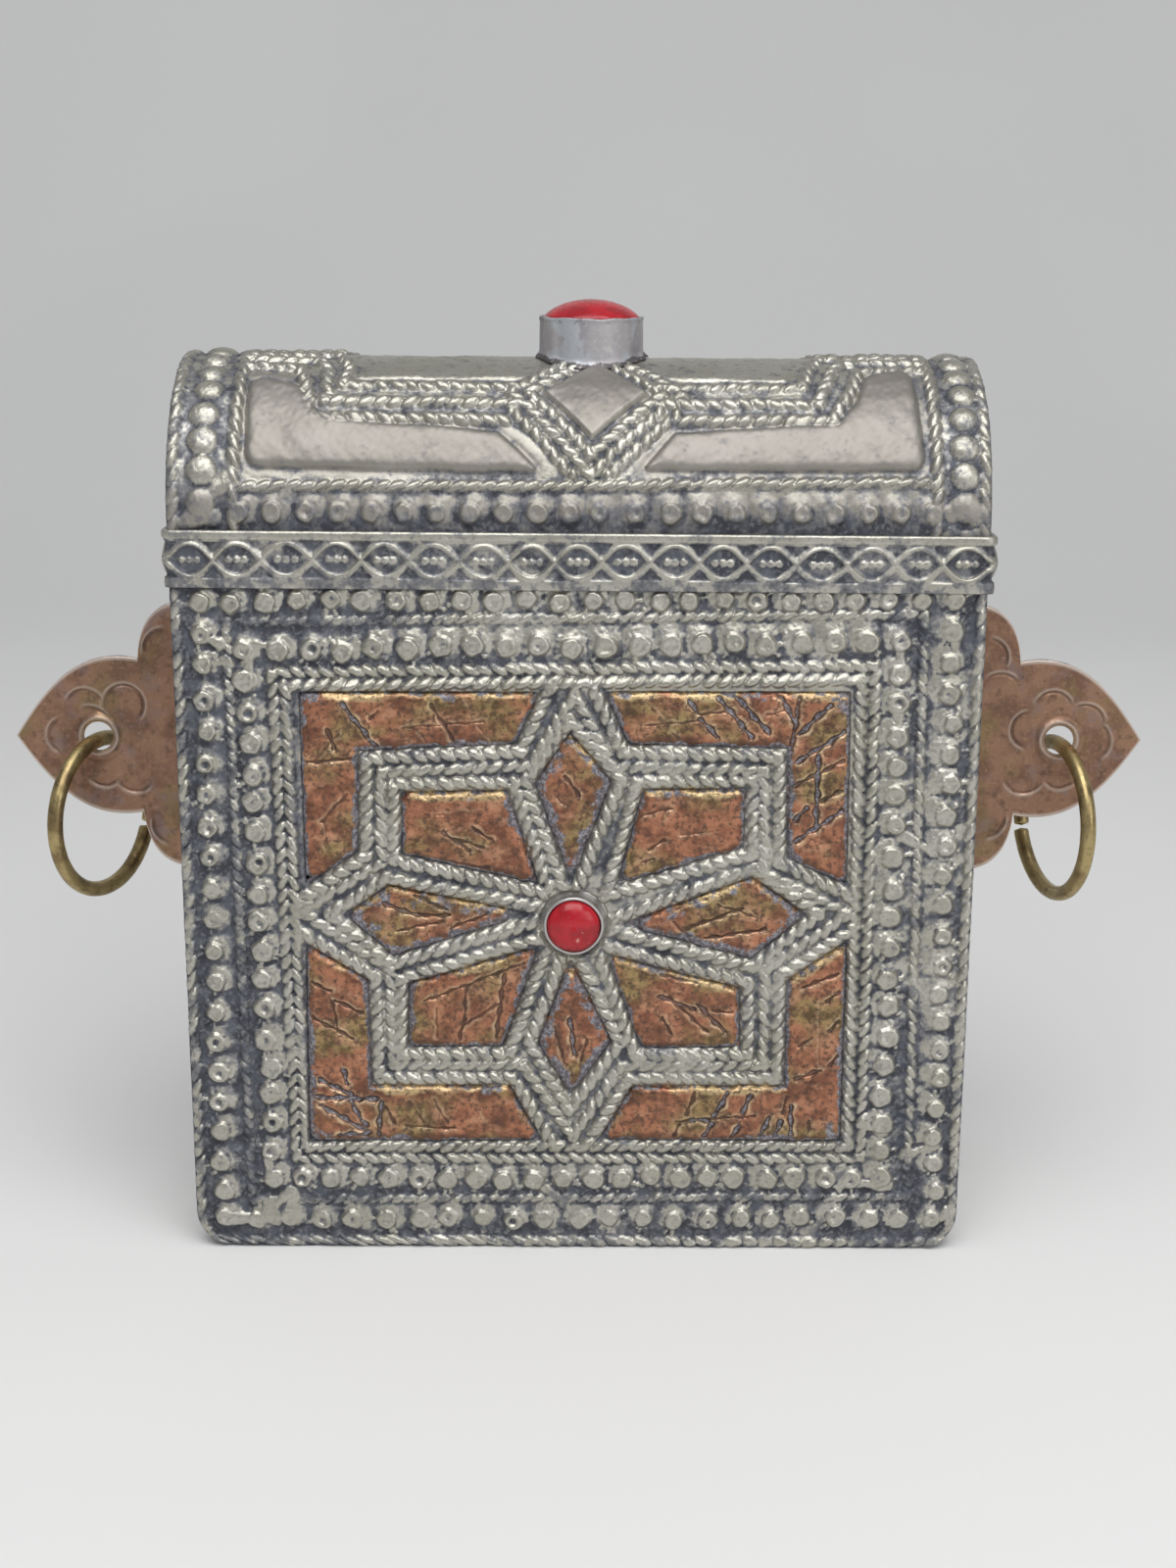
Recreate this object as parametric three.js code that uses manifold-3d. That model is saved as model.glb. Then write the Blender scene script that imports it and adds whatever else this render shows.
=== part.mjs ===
// An amulet box to hang from a cord: a flat casket of embossed nickel-silver sheet with a
// barrel-shaped slip lid, copper plates set into a star on its front, two copper side lugs with
// loose brass rings, and red stones in bezels on the front and on top of the lid.
// Millimetres, +Z up. The front looks along -Y. The origin is the middle of the flat base.
import * as THREE from "three";
import { mergeGeometries, mergeVertices } from "three/addons/utils/BufferGeometryUtils.js";
import Module from "manifold-3d";

// Casket
const bodyWidth = 124;
const bodyDepth = 47.5;
const bodyHeight = 112;
const baseCornerRadius = 6;
const sheet = 1; // thickness of the nickel-silver sheet
const seam = 0.3; // gap that solder fills between two soldered pieces
const root = 0.3; // how far raised work is let into the sheet that carries it

// Embossed work on the front
const ropeHeight = 0.9;
const beadHeight = 1.2;
const beadBaseRadius = 1.6;
const beadTopRadius = 1;
const beadSides = 6;
const beadPitch = 4.9;
const edgeRopeWidth = 1.8;
const thinRopeWidth = 1.4;
const braidRopeWidth = 1.9;
const strapHeight = 0.9;

// Lines of the border: inset from the side edges, height over the base, depth below the band
const outerBeadSide = 4.5;
const outerBeadBase = 4.8;
const outerBeadTop = 1.9;
const thinRopeSide = 8.8;
const thinRopeBase = 8.2;
const thinRopeTop = 4.4;
const innerBeadSide = 12.2;
const innerBeadBase = 11.3;
const innerBeadTop = 8.3;
const outerBraidSide = 15.8;
const outerBraidBase = 15.3;
const outerBraidTop = 12.2;
const innerBraidSide = 18;
const innerBraidBase = 17.5;
const innerBraidTop = 14.5;
const fieldMargin = 1.5; // from the inner braid's middle to the copper corner plates

// Star of copper plates
const starShift = -0.6; // the star sits a little to the left of the middle
const cornerPlateWidth = 8.4;
const squareStrap = 7.4; // the strap inside the corner plates
const topGapOuter = 5.3; // half the gap between two corner plates, at their outer edge
const topGapInner = 9.6;
const sideGapOuter = 5.5;
const sideGapInner = 10.6;
const kiteSeatGap = 1.3; // from the front bezel's seat to the upright kites
const levelKiteSeatGap = 2.5;
const kiteHalf = 5.5;
const levelKiteHalf = 6;
const kitePast = 1; // how far the kites reach past the corner plates' inner edges
const levelKitePast = 2.2;
const kiteShoulder = 7.8; // from a kite's far point back to its widest
const levelKiteShoulder = 7.4;
const quadNear = 6.4; // across and up from the star's centre to a four-sided plate's near corner
const quadTopStart = 11.1;
const quadSideStart = 11.4;
const inlayThickness = 0.9;
const inlayBevel = 0.35;

// Stone on the front
const frontStoneRadius = 4.1;
const frontStoneRise = 1.7;
const frontBezelHeight = 2;
const frontBezelFloor = 0.6;
const frontBezelFlare = 0.5;
const bezelWall = 0.5;

// Lid
const bandOverlap = 3.4; // how far the band reaches down over the casket
const bandHeight = 8.7;
const bandSheet = 1;
const bandClearance = 0.3; // play all round between the band and the casket
const bandCornerRadius = 1.2;
const bandRidge = 0.4;
const bandTopRidgeHeight = 1.3;
const bandBottomRidgeHeight = 0.9;
const springRise = 6.1; // from the casket's rim to where the barrel starts to curve
const domeSegments = 16;
const lidRopeHeight = 0.8;
const panelHeight = 0.7;
const lidShift = 1.8; // the lid's pattern sits a little to the right of the middle
const lidBeadPitch = 5;
const lidBeadRowAngle = 5;
const lidBeadRowInset = 10; // from the lid's ends to the ends of its two long bead rows
const endBeadInset = 4.6;
const endBeadStep = 11.25; // degrees
const endRopeInset = 9;
const lidRopeAngle = 15;
const panelLowAngle = 22;
const panelHighAngle = 38;
const panelTipAngle = 66;
const panelEndInset = 11.6;
const panelArm = 9;
const panelInner = 9; // from the pattern's middle to the panels' lower inner corners
const panelSlant = 5;
const diamondHalf = 8;
const diamondLowAngle = 32;
const diamondHighAngle = 70;
const zigzagStep = 46; // degrees: height of the rope that runs from the diamond to the panels' arms
const zigzagReach = 36;
const zigzagTopAngle = 76;

// Stone on the lid
const lidStoneRadius = 7.3;
const lidStoneRise = 4.6;
const lidBezelTop = 7.2; // rim's height over the top of the barrel
const lidBezelPocket = 2.8;

// Side lugs and rings
const lugThickness = 1.2;
const lugHeightAboveBase = 80.2;
const lugReach = 30.8;
const lugRootHalf = 24.6;
const lugNotch = 10.3;
const lugNotchHalf = 13.1;
const lugSwellReach = 9; // beyond the notch, where the ogee swells
const lugSwellHalf = 14.5;
const lugFallReach = 6.5; // before the point, where the ogee draws in
const lugFallHalf = 10.1;
const lugHoleReach = 17.2;
const lugHoleRadius = 2.4;
const lugRimRadius = 3.5;
const lugRimHeight = 0.4;
const lugFootDepth = 7;
const lugFootHalf = 18;
const ringRadius = 12.7;
const wireRadius = 1.3;
const ringPlay = 0.35; // between the wire and the lower edge of its hole
const leftRingTurn = 25; // degrees from square to the lug
const rightRingTurn = 14;
const ringCutAngle = 112;
const ringCut = 1;
const wireSides = 8;
const ringSteps = 28;

const roundSides = 20;
const frontY = -bodyDepth / 2;
const backY = bodyDepth / 2;
const halfWidth = bodyWidth / 2;
const bandBottom = bodyHeight - bandOverlap;
const lidBottom = bodyHeight + seam;
const springZ = bodyHeight + springRise;
const domeRadius = bodyDepth / 2;
const degrees = Math.PI / 180;

const wasm = await Module();
wasm.setup();

// A closed three.js geometry as a solid that can be joined and cut.
function solidOf(geometry) {
  const bare = geometry.index ? geometry.toNonIndexed() : geometry.clone();
  bare.deleteAttribute("normal");
  bare.deleteAttribute("uv");
  const merged = mergeVertices(bare, 1e-4);
  return new wasm.Manifold(
    new wasm.Mesh({
      numProp: 3,
      vertProperties: merged.attributes.position.array,
      triVerts: new Uint32Array(merged.index.array),
    }),
  );
}

function geometryOf(solid) {
  const mesh = solid.getMesh();
  const geometry = new THREE.BufferGeometry();
  geometry.setAttribute("position", new THREE.BufferAttribute(mesh.vertProperties, 3));
  geometry.setIndex(new THREE.BufferAttribute(mesh.triVerts, 1));
  return geometry;
}

const join = (solids) => solids.reduce((whole, piece) => whole.add(piece));

// Several closed geometries that don't touch each other, as one solid.
function scattered(geometries) {
  const bare = geometries.map((geometry) => {
    const copy = geometry.index ? geometry.toNonIndexed() : geometry.clone();
    copy.deleteAttribute("normal");
    copy.deleteAttribute("uv");
    return copy;
  });
  return solidOf(mergeGeometries(bare));
}

function outlineOf(points) {
  return new THREE.Shape(points.map(([x, y]) => new THREE.Vector2(x, y)));
}

// A shape drawn in x and z, as a slab with its back face at y and its front towards -Y.
function slab(shape, y, thickness) {
  const geometry = new THREE.ExtrudeGeometry(shape, { depth: thickness, bevelEnabled: false });
  return geometry.rotateX(Math.PI / 2).translate(0, y, 0);
}

// A shape drawn in y and z, drawn out along X from x.
function alongX(shape, x, length) {
  const geometry = new THREE.ExtrudeGeometry(shape, {
    depth: length,
    bevelEnabled: false,
    curveSegments: domeSegments,
  });
  const turn = new THREE.Matrix4().set(0, 0, 1, x, 1, 0, 0, 0, 0, 1, 0, 0, 0, 0, 0, 1);
  return geometry.applyMatrix4(turn);
}

// Raised work on the front sheet: let into it by root, standing out by height.
const raised = (shape, height) => slab(shape, frontY + root, height + root);

// A polygon moved inwards by a distance, edge by edge. The points run anticlockwise.
function inset(points, distance) {
  const edges = points.map(([x, y], i) => {
    const [nextX, nextY] = points[(i + 1) % points.length];
    const length = Math.hypot(nextX - x, nextY - y);
    const normal = [-(nextY - y) / length, (nextX - x) / length];
    return { normal, offset: normal[0] * x + normal[1] * y + distance };
  });
  return edges.map((edge, i) => {
    const before = edges[(i + edges.length - 1) % edges.length];
    const [a, b] = before.normal;
    const [c, d] = edge.normal;
    const det = a * d - b * c;
    const x = (before.offset * d - b * edge.offset) / det;
    const y = (a * edge.offset - before.offset * c) / det;
    return [x, y];
  });
}

// The casket's front outline, moved inwards by an inset: rounded base corners, square top.
function casketOutline(path, moved, top) {
  const side = halfWidth - moved;
  const radius = baseCornerRadius - moved;
  const centre = halfWidth - baseCornerRadius;
  path.moveTo(side, top);
  path.lineTo(-side, top);
  path.lineTo(-side, baseCornerRadius);
  path.absarc(-centre, baseCornerRadius, radius, Math.PI, 1.5 * Math.PI, false);
  path.lineTo(centre, moved);
  path.absarc(centre, baseCornerRadius, radius, 1.5 * Math.PI, 2 * Math.PI, false);
  path.lineTo(side, top);
  return path;
}

// A strip of a given width that follows the casket's two sides and base, open at the top.
function casketStrip(width, top) {
  const centre = halfWidth - baseCornerRadius;
  const inner = baseCornerRadius - width;
  const shape = new THREE.Shape();
  shape.moveTo(-halfWidth, top);
  shape.lineTo(-halfWidth, baseCornerRadius);
  shape.absarc(-centre, baseCornerRadius, baseCornerRadius, Math.PI, 1.5 * Math.PI, false);
  shape.lineTo(centre, 0);
  shape.absarc(centre, baseCornerRadius, baseCornerRadius, 1.5 * Math.PI, 2 * Math.PI, false);
  shape.lineTo(halfWidth, top);
  shape.lineTo(halfWidth - width, top);
  shape.lineTo(halfWidth - width, baseCornerRadius);
  shape.absarc(centre, baseCornerRadius, inner, 2 * Math.PI, 1.5 * Math.PI, true);
  shape.lineTo(-centre, width);
  shape.absarc(-centre, baseCornerRadius, inner, 1.5 * Math.PI, Math.PI, true);
  shape.lineTo(-halfWidth + width, top);
  return shape;
}

const borderLine = (side, base, top) => ({ side, base, top });
const outerBeadLine = borderLine(outerBeadSide, outerBeadBase, outerBeadTop);
const thinRopeLine = borderLine(thinRopeSide, thinRopeBase, thinRopeTop);
const innerBeadLine = borderLine(innerBeadSide, innerBeadBase, innerBeadTop);
const outerBraidLine = borderLine(outerBraidSide, outerBraidBase, outerBraidTop);
const innerBraidLine = borderLine(innerBraidSide, innerBraidBase, innerBraidTop);

// The rectangle that a border line follows, grown outwards by a distance.
function borderBox(line, grown = 0) {
  return {
    x: halfWidth - line.side + grown,
    low: line.base - grown,
    high: bandBottom - line.top + grown,
  };
}

function rectangle(path, { x, low, high }) {
  path.moveTo(-x, low);
  path.lineTo(x, low);
  path.lineTo(x, high);
  path.lineTo(-x, high);
  path.lineTo(-x, low);
  return path;
}

function ropeFrame(line, width) {
  const shape = rectangle(new THREE.Shape(), borderBox(line, width / 2));
  shape.holes.push(rectangle(new THREE.Path(), borderBox(line, -width / 2)));
  return shape;
}

// A bead: a six-sided blunt cone that stands on z = 0 and is let in by root.
function bead() {
  const height = beadHeight + root;
  const cone = new THREE.CylinderGeometry(beadTopRadius, beadBaseRadius, height, beadSides);
  return cone.rotateX(Math.PI / 2).translate(0, 0, height / 2 - root);
}

// Even places along a line from one end to the other, about one pitch apart.
function places(from, to, pitch) {
  const count = Math.round(Math.abs(to - from) / pitch);
  return Array.from({ length: count + 1 }, (_, i) => from + ((to - from) * i) / count);
}

// Beads round the whole of a border line.
function beadFrame(line) {
  const box = borderBox(line);
  const across = places(-box.x, box.x, beadPitch);
  const up = places(box.low, box.high, beadPitch).slice(1, -1);
  const spots = [
    ...across.flatMap((x) => [
      [x, box.low],
      [x, box.high],
    ]),
    ...up.flatMap((z) => [
      [-box.x, z],
      [box.x, z],
    ]),
  ];
  return spots.map(([x, z]) => bead().rotateX(Math.PI / 2).translate(x, frontY, z));
}

const field = borderBox(innerBraidLine, -fieldMargin);
const starZ = (field.low + field.high) / 2;
const fieldHalfHeight = (field.high - field.low) / 2;
const fieldReach = field.x - Math.abs(starShift);
const squareHalfWidth = fieldReach - cornerPlateWidth;
const squareHalfHeight = fieldHalfHeight - cornerPlateWidth;
const quadHalfWidth = squareHalfWidth - squareStrap;
const quadHalfHeight = squareHalfHeight - squareStrap;
const frontBezelTopRadius = frontStoneRadius + seam + bezelWall;
const frontBezelBaseRadius = frontBezelTopRadius + frontBezelFlare;
const seatRadius = frontBezelBaseRadius + seam;
const kiteFar = squareHalfHeight + kitePast;
const levelKiteFar = squareHalfWidth + levelKitePast;

// One quarter's cells, up and to the right of the star's centre, anticlockwise.
const cornerCell = [
  [topGapOuter, fieldHalfHeight],
  [topGapInner, squareHalfHeight],
  [squareHalfWidth, squareHalfHeight],
  [squareHalfWidth, sideGapInner],
  [fieldReach, sideGapOuter],
  [fieldReach, fieldHalfHeight],
];
const quadCell = [
  [quadNear, quadNear],
  [quadHalfWidth, quadSideStart],
  [quadHalfWidth, quadHalfHeight],
  [quadTopStart, quadHalfHeight],
];
const uprightKiteCell = [
  [0, seatRadius + kiteSeatGap],
  [kiteHalf, kiteFar - kiteShoulder],
  [0, kiteFar],
  [-kiteHalf, kiteFar - kiteShoulder],
];
const levelKiteCell = [
  [seatRadius + levelKiteSeatGap, 0],
  [levelKiteFar - levelKiteShoulder, -levelKiteHalf],
  [levelKiteFar, 0],
  [levelKiteFar - levelKiteShoulder, levelKiteHalf],
];

// A cell mirrored into its quarter and set round the star's centre, still anticlockwise.
function placed(cell, alongWidth, alongHeight) {
  const points = cell.map(([x, z]) => [starShift + x * alongWidth, starZ + z * alongHeight]);
  return alongWidth * alongHeight < 0 ? points.reverse() : points;
}

const cells = {};
for (const [sideName, side] of [["left", -1], ["right", 1]]) {
  for (const [levelName, level] of [["top", 1], ["bottom", -1]]) {
    cells[`inlay_corner_${levelName}_${sideName}`] = placed([...cornerCell], side, level);
    cells[`inlay_quad_${levelName}_${sideName}`] = placed(quadCell, side, level);
    cells[`inlay_kite_${levelName}`] = placed(uprightKiteCell, 1, level);
  }
  cells[`inlay_kite_${sideName}`] = placed(levelKiteCell, side, 1);
}

function frontPlate() {
  const plate = slab(casketOutline(new THREE.Shape(), 0, bodyHeight), frontY + sheet, sheet);
  const edgeRope = raised(casketStrip(edgeRopeWidth, bandBottom - bandClearance), ropeHeight);
  const thinRope = raised(ropeFrame(thinRopeLine, thinRopeWidth), ropeHeight);
  const braid = raised(ropeFrame(outerBraidLine, braidRopeWidth), ropeHeight);
  // The inner braid and the straps between the copper plates are one raised net.
  const netOutline = rectangle(new THREE.Shape(), borderBox(innerBraidLine, braidRopeWidth / 2));
  const seat = new THREE.Shape();
  seat.absarc(starShift, starZ, seatRadius, 0, 2 * Math.PI, false);
  const openings = [...Object.values(cells).map(outlineOf), seat];
  const cuts = openings.map((opening) => slab(opening, frontY, 2 * strapHeight));
  const roots = slab(netOutline, frontY + root, root);
  const straps = solidOf(slab(netOutline, frontY, strapHeight)).subtract(scattered(cuts));
  const beads = scattered([...beadFrame(outerBeadLine), ...beadFrame(innerBeadLine)]);
  return join([
    solidOf(plate),
    solidOf(edgeRope),
    solidOf(thinRope),
    solidOf(braid),
    straps.add(solidOf(roots)),
    beads,
  ]);
}

function backPlate() {
  return slab(casketOutline(new THREE.Shape(), 0, bodyHeight), backY, sheet);
}

// Both sides and the base are one strip of sheet, bent round and soldered between the plates.
function sideWrap() {
  const depth = bodyDepth - 2 * (sheet + seam);
  return slab(casketStrip(sheet, bodyHeight), depth / 2, depth);
}

// A copper plate with softened edges, a little smaller than its cell.
function inlay(cell) {
  const geometry = new THREE.ExtrudeGeometry(outlineOf(inset(cell, seam)), {
    depth: inlayThickness - 2 * inlayBevel,
    bevelThickness: inlayBevel,
    bevelSize: inlayBevel,
    bevelOffset: -inlayBevel,
    bevelSegments: 1,
  });
  return geometry.rotateX(Math.PI / 2).translate(0, frontY - seam - inlayBevel, 0);
}

// A profile of radius and height turned round the upright axis.
function turned(profile) {
  const points = profile.map(([radius, height]) => new THREE.Vector2(radius, height));
  return new THREE.LatheGeometry(points, roundSides).rotateX(Math.PI / 2);
}

// A domed stone: flat below, a short upright girdle, then a low dome.
function stoneProfile(radius, girdle, rise) {
  const steps = 5;
  const dome = Array.from({ length: steps + 1 }, (_, i) => {
    const angle = (i / steps) * 90 * degrees;
    return [i === steps ? 0 : radius * Math.cos(angle), girdle + rise * Math.sin(angle)];
  });
  return [[0, 0], [radius, 0], ...dome];
}

function bezelProfile(topRadius, baseRadius, base, floor, height) {
  const pocket = topRadius - bezelWall;
  return [
    [0, base],
    [baseRadius, base],
    [topRadius, height],
    [pocket, height],
    [pocket, floor],
    [0, floor],
  ];
}

function frontBezel() {
  const height = frontBezelHeight + frontBezelFloor;
  const profile = bezelProfile(frontBezelTopRadius, frontBezelBaseRadius, 0, frontBezelFloor, height);
  return turned(profile).rotateX(Math.PI / 2).translate(starShift, frontY - seam, starZ);
}

function frontCabochon() {
  const girdle = frontBezelHeight - seam;
  const stone = turned(stoneProfile(frontStoneRadius, girdle, frontStoneRise));
  const y = frontY - seam - frontBezelFloor - seam;
  return stone.rotateX(Math.PI / 2).translate(starShift, y, starZ);
}

// The lug's outline: a root along the wall, a round shoulder, a notch, then an ogee to a point.
function lugOutline() {
  const shape = new THREE.Shape();
  shape.moveTo(seam, -lugRootHalf);
  shape.quadraticCurveTo(lugNotch - seam, -lugRootHalf, lugNotch, -lugNotchHalf);
  const swell = [lugNotch + lugSwellReach, lugSwellHalf];
  const fall = [lugReach - lugFallReach, lugFallHalf];
  shape.bezierCurveTo(swell[0], -swell[1], fall[0], -fall[1], lugReach, 0);
  shape.bezierCurveTo(fall[0], fall[1], swell[0], swell[1], lugNotch, lugNotchHalf);
  shape.quadraticCurveTo(lugNotch - seam, lugRootHalf, seam, lugRootHalf);
  return shape;
}

function roundHole(radius, x) {
  return new THREE.Path().absarc(x, 0, radius, 0, 2 * Math.PI, false);
}

// The right lug, drawn from the wall outwards: a cut plate with a raised eyelet and a bent foot.
function lug() {
  const outline = lugOutline();
  outline.holes.push(roundHole(lugHoleRadius, lugHoleReach));
  const plate = new THREE.ExtrudeGeometry(outline, {
    depth: lugThickness,
    bevelEnabled: false,
    curveSegments: 10,
  });
  const eyelet = new THREE.Shape().absarc(lugHoleReach, 0, lugRimRadius, 0, 2 * Math.PI, false);
  eyelet.holes.push(roundHole(lugHoleRadius, lugHoleReach));
  const rimDepth = lugRimHeight + lugThickness / 2;
  const rim = new THREE.ExtrudeGeometry(eyelet, {
    depth: rimDepth,
    bevelEnabled: false,
    curveSegments: 10,
  });
  const foot = new THREE.BoxGeometry(lugThickness, lugFootDepth, 2 * lugFootHalf);
  foot.translate(seam + lugThickness / 2, lugFootDepth / 2, 0);
  return join([
    solidOf(plate.rotateX(Math.PI / 2).translate(0, lugThickness / 2, 0)),
    solidOf(rim.rotateX(Math.PI / 2)),
    solidOf(foot),
  ]);
}

// A wire ring's path: round from just past the cut to just before it, in the plane of Y and Z.
class CutRing extends THREE.Curve {
  getPoint(t, target = new THREE.Vector3()) {
    const halfCut = ringCut / 2 / ringRadius;
    const start = ringCutAngle * degrees + halfCut;
    const angle = start + t * (2 * Math.PI - 2 * halfCut);
    return target.set(0, ringRadius * Math.sin(angle), ringRadius * Math.cos(angle));
  }
}

function ring() {
  const section = Array.from({ length: wireSides }, (_, i) => {
    const angle = (i / wireSides) * 2 * Math.PI;
    return [wireRadius * Math.cos(angle), wireRadius * Math.sin(angle)];
  });
  return new THREE.ExtrudeGeometry(outlineOf(section), {
    steps: ringSteps,
    extrudePath: new CutRing(),
  });
}

// The barrel's cross-section, moved inwards by a distance: two short walls and a half circle.
function barrelSection(path, moved, backwards) {
  const radius = domeRadius - moved;
  const side = backwards ? -radius : radius;
  path.moveTo(side, lidBottom);
  path.lineTo(side, springZ);
  path.absarc(0, springZ, radius, backwards ? Math.PI : 0, backwards ? 0 : Math.PI, backwards);
  path.lineTo(-side, lidBottom);
  return path;
}

function barrelShape() {
  const shape = barrelSection(new THREE.Shape(), 0, false);
  const inner = domeRadius - sheet;
  shape.lineTo(-inner, lidBottom);
  shape.lineTo(-inner, springZ);
  shape.absarc(0, springZ, inner, Math.PI, 0, true);
  shape.lineTo(inner, lidBottom);
  return shape;
}

// A raised tile on the barrel. Its corners are [x, angle] in degrees up from the front's middle
// line, anticlockwise from the lower left as seen from the front.
function barrelTile(corners, height) {
  const angles = corners.map((corner) => corner[1]);
  const span = Math.max(...angles) - Math.min(...angles);
  const rows = Math.max(1, Math.round((span * domeSegments) / 180));
  const box = new THREE.BoxGeometry(1, 1, 1, 1, rows, 1);
  const place = box.attributes.position;
  for (let i = 0; i < place.count; i++) {
    const u = place.getX(i) + 0.5;
    const v = place.getY(i) + 0.5;
    const radius = domeRadius - root + (place.getZ(i) + 0.5) * (root + height);
    const [x, angle] = [0, 1].map((k) => {
      const low = corners[0][k] * (1 - u) + corners[1][k] * u;
      const high = corners[3][k] * (1 - u) + corners[2][k] * u;
      return low * (1 - v) + high * v;
    });
    const turn = angle * degrees;
    place.setXYZ(i, x, -radius * Math.cos(turn), springZ + radius * Math.sin(turn));
  }
  return solidOf(box);
}

// A rope on the barrel from one [x, angle] to another, as a straight raised tile.
function barrelRope(from, to, width, height) {
  const perDegree = domeRadius * degrees;
  const along = [to[0] - from[0], (to[1] - from[1]) * perDegree];
  const length = Math.hypot(...along);
  const aside = [(-along[1] / length) * (width / 2), ((along[0] / length) * (width / 2)) / perDegree];
  const corners = [
    [from[0] - aside[0], from[1] - aside[1]],
    [to[0] - aside[0], to[1] - aside[1]],
    [to[0] + aside[0], to[1] + aside[1]],
    [from[0] + aside[0], from[1] + aside[1]],
  ];
  // The tile is divided along its second side, which has to be the one that climbs.
  const climbs = Math.abs(along[1]) > Math.abs(along[0]);
  return barrelTile(climbs ? [corners[3], corners[0], corners[1], corners[2]] : corners, height);
}

function barrelBead(x, angle) {
  return bead()
    .rotateX(Math.PI / 2)
    .translate(0, -domeRadius, 0)
    .rotateX(-angle * degrees)
    .translate(x, 0, springZ);
}

// The pattern on the front half of the barrel: panels, diamond and zigzag ropes.
function barrelPattern() {
  const pieces = [];
  for (const side of [-1, 1]) {
    const at = (x, angle) => [side * x, angle];
    const tile = (corners, height) => {
      pieces.push(barrelTile(side < 0 ? [corners[1], corners[0], corners[3], corners[2]] : corners, height));
    };
    const outer = halfWidth - panelEndInset;
    const arm = outer - panelArm;
    const inner = panelInner + side * lidShift;
    tile(
      [
        at(inner, panelLowAngle),
        at(outer, panelLowAngle),
        at(outer, panelHighAngle),
        at(inner + panelSlant, panelHighAngle),
      ],
      panelHeight,
    );
    tile(
      [
        at(arm, panelHighAngle),
        at(outer, panelHighAngle),
        at(outer, panelTipAngle),
        at(arm + panelSlant / 2, panelTipAngle),
      ],
      panelHeight,
    );
    const knee = [side * zigzagReach, zigzagStep];
    const hip = [side * zigzagReach, zigzagTopAngle];
    const start = [lidShift + side * (diamondHalf + panelSlant / 2), zigzagStep + 4];
    const end = [side * (halfWidth - endRopeInset), zigzagTopAngle];
    pieces.push(barrelRope(start, knee, braidRopeWidth, lidRopeHeight));
    pieces.push(barrelRope(knee, hip, braidRopeWidth, lidRopeHeight));
    pieces.push(barrelRope(hip, end, braidRopeWidth, lidRopeHeight));
  }
  const middle = (diamondLowAngle + diamondHighAngle) / 2;
  pieces.push(
    barrelTile(
      [
        [lidShift, diamondLowAngle],
        [lidShift + diamondHalf, middle],
        [lidShift, diamondHighAngle],
        [lidShift - diamondHalf, middle],
      ],
      panelHeight,
    ),
  );
  const rowRope = halfWidth - endRopeInset;
  pieces.push(barrelRope([-rowRope, lidRopeAngle], [rowRope, lidRopeAngle], thinRopeWidth, lidRopeHeight));
  return join(pieces);
}

function lidDome() {
  const shell = solidOf(alongX(barrelShape(), -halfWidth, bodyWidth));
  const front = barrelPattern();
  const pieces = [shell, front, front.mirror([0, 1, 0])];
  for (const side of [-1, 1]) {
    for (const ropeInset of [edgeRopeWidth / 2, endRopeInset]) {
      const x = side * (halfWidth - ropeInset);
      pieces.push(barrelRope([x, 0], [x, 180], edgeRopeWidth, lidRopeHeight));
    }
  }
  const rowReach = halfWidth - lidBeadRowInset;
  const rowBeads = places(-rowReach, rowReach, lidBeadPitch).flatMap((x) => [
    barrelBead(x, lidBeadRowAngle),
    barrelBead(x, 180 - lidBeadRowAngle),
  ]);
  const endBeads = places(endBeadStep / 2, 180 - endBeadStep / 2, endBeadStep).flatMap((angle) => [
    barrelBead(-halfWidth + endBeadInset, angle),
    barrelBead(halfWidth - endBeadInset, angle),
  ]);
  pieces.push(scattered([...rowBeads, ...endBeads]));
  return join(pieces);
}

// A flat cap inside one end of the barrel.
function lidEnd(side) {
  const shape = barrelSection(new THREE.Shape(), sheet + seam, false);
  return alongX(shape, side < 0 ? -halfWidth : halfWidth - sheet, sheet);
}

// A rectangle with rounded corners round the casket, moved outwards by a distance.
function bandOutline(path, moved) {
  const x = halfWidth + moved;
  const y = bodyDepth / 2 + moved;
  const r = bandCornerRadius + Math.max(0, moved - bandClearance);
  path.moveTo(-x + r, -y);
  path.lineTo(x - r, -y);
  path.absarc(x - r, -y + r, r, -Math.PI / 2, 0, false);
  path.lineTo(x, y - r);
  path.absarc(x - r, y - r, r, 0, Math.PI / 2, false);
  path.lineTo(-x + r, y);
  path.absarc(-x + r, y - r, r, Math.PI / 2, Math.PI, false);
  path.lineTo(-x, -y + r);
  path.absarc(-x + r, -y + r, r, Math.PI, 1.5 * Math.PI, false);
  return path;
}

function innerBandOutline() {
  const x = halfWidth + bandClearance;
  const y = bodyDepth / 2 + bandClearance;
  return outlineOf([
    [-x, -y],
    [x, -y],
    [x, y],
    [-x, y],
  ]);
}

function bandRing(outward, height, z) {
  const shape = bandOutline(new THREE.Shape(), outward);
  shape.holes.push(innerBandOutline());
  const geometry = new THREE.ExtrudeGeometry(shape, {
    depth: height,
    bevelEnabled: false,
    curveSegments: 4,
  });
  return solidOf(geometry.translate(0, 0, z));
}

// The band round the foot of the lid, with a raised ridge along its upper and lower edges.
function lidBand() {
  const outward = bandClearance + bandSheet;
  const topRidge = bandBottom + bandHeight - bandTopRidgeHeight;
  return join([
    bandRing(outward, bandHeight, bandBottom),
    bandRing(outward + bandRidge, bandTopRidgeHeight, topRidge),
    bandRing(outward + bandRidge, bandBottomRidgeHeight, bandBottom),
  ]);
}

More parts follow.
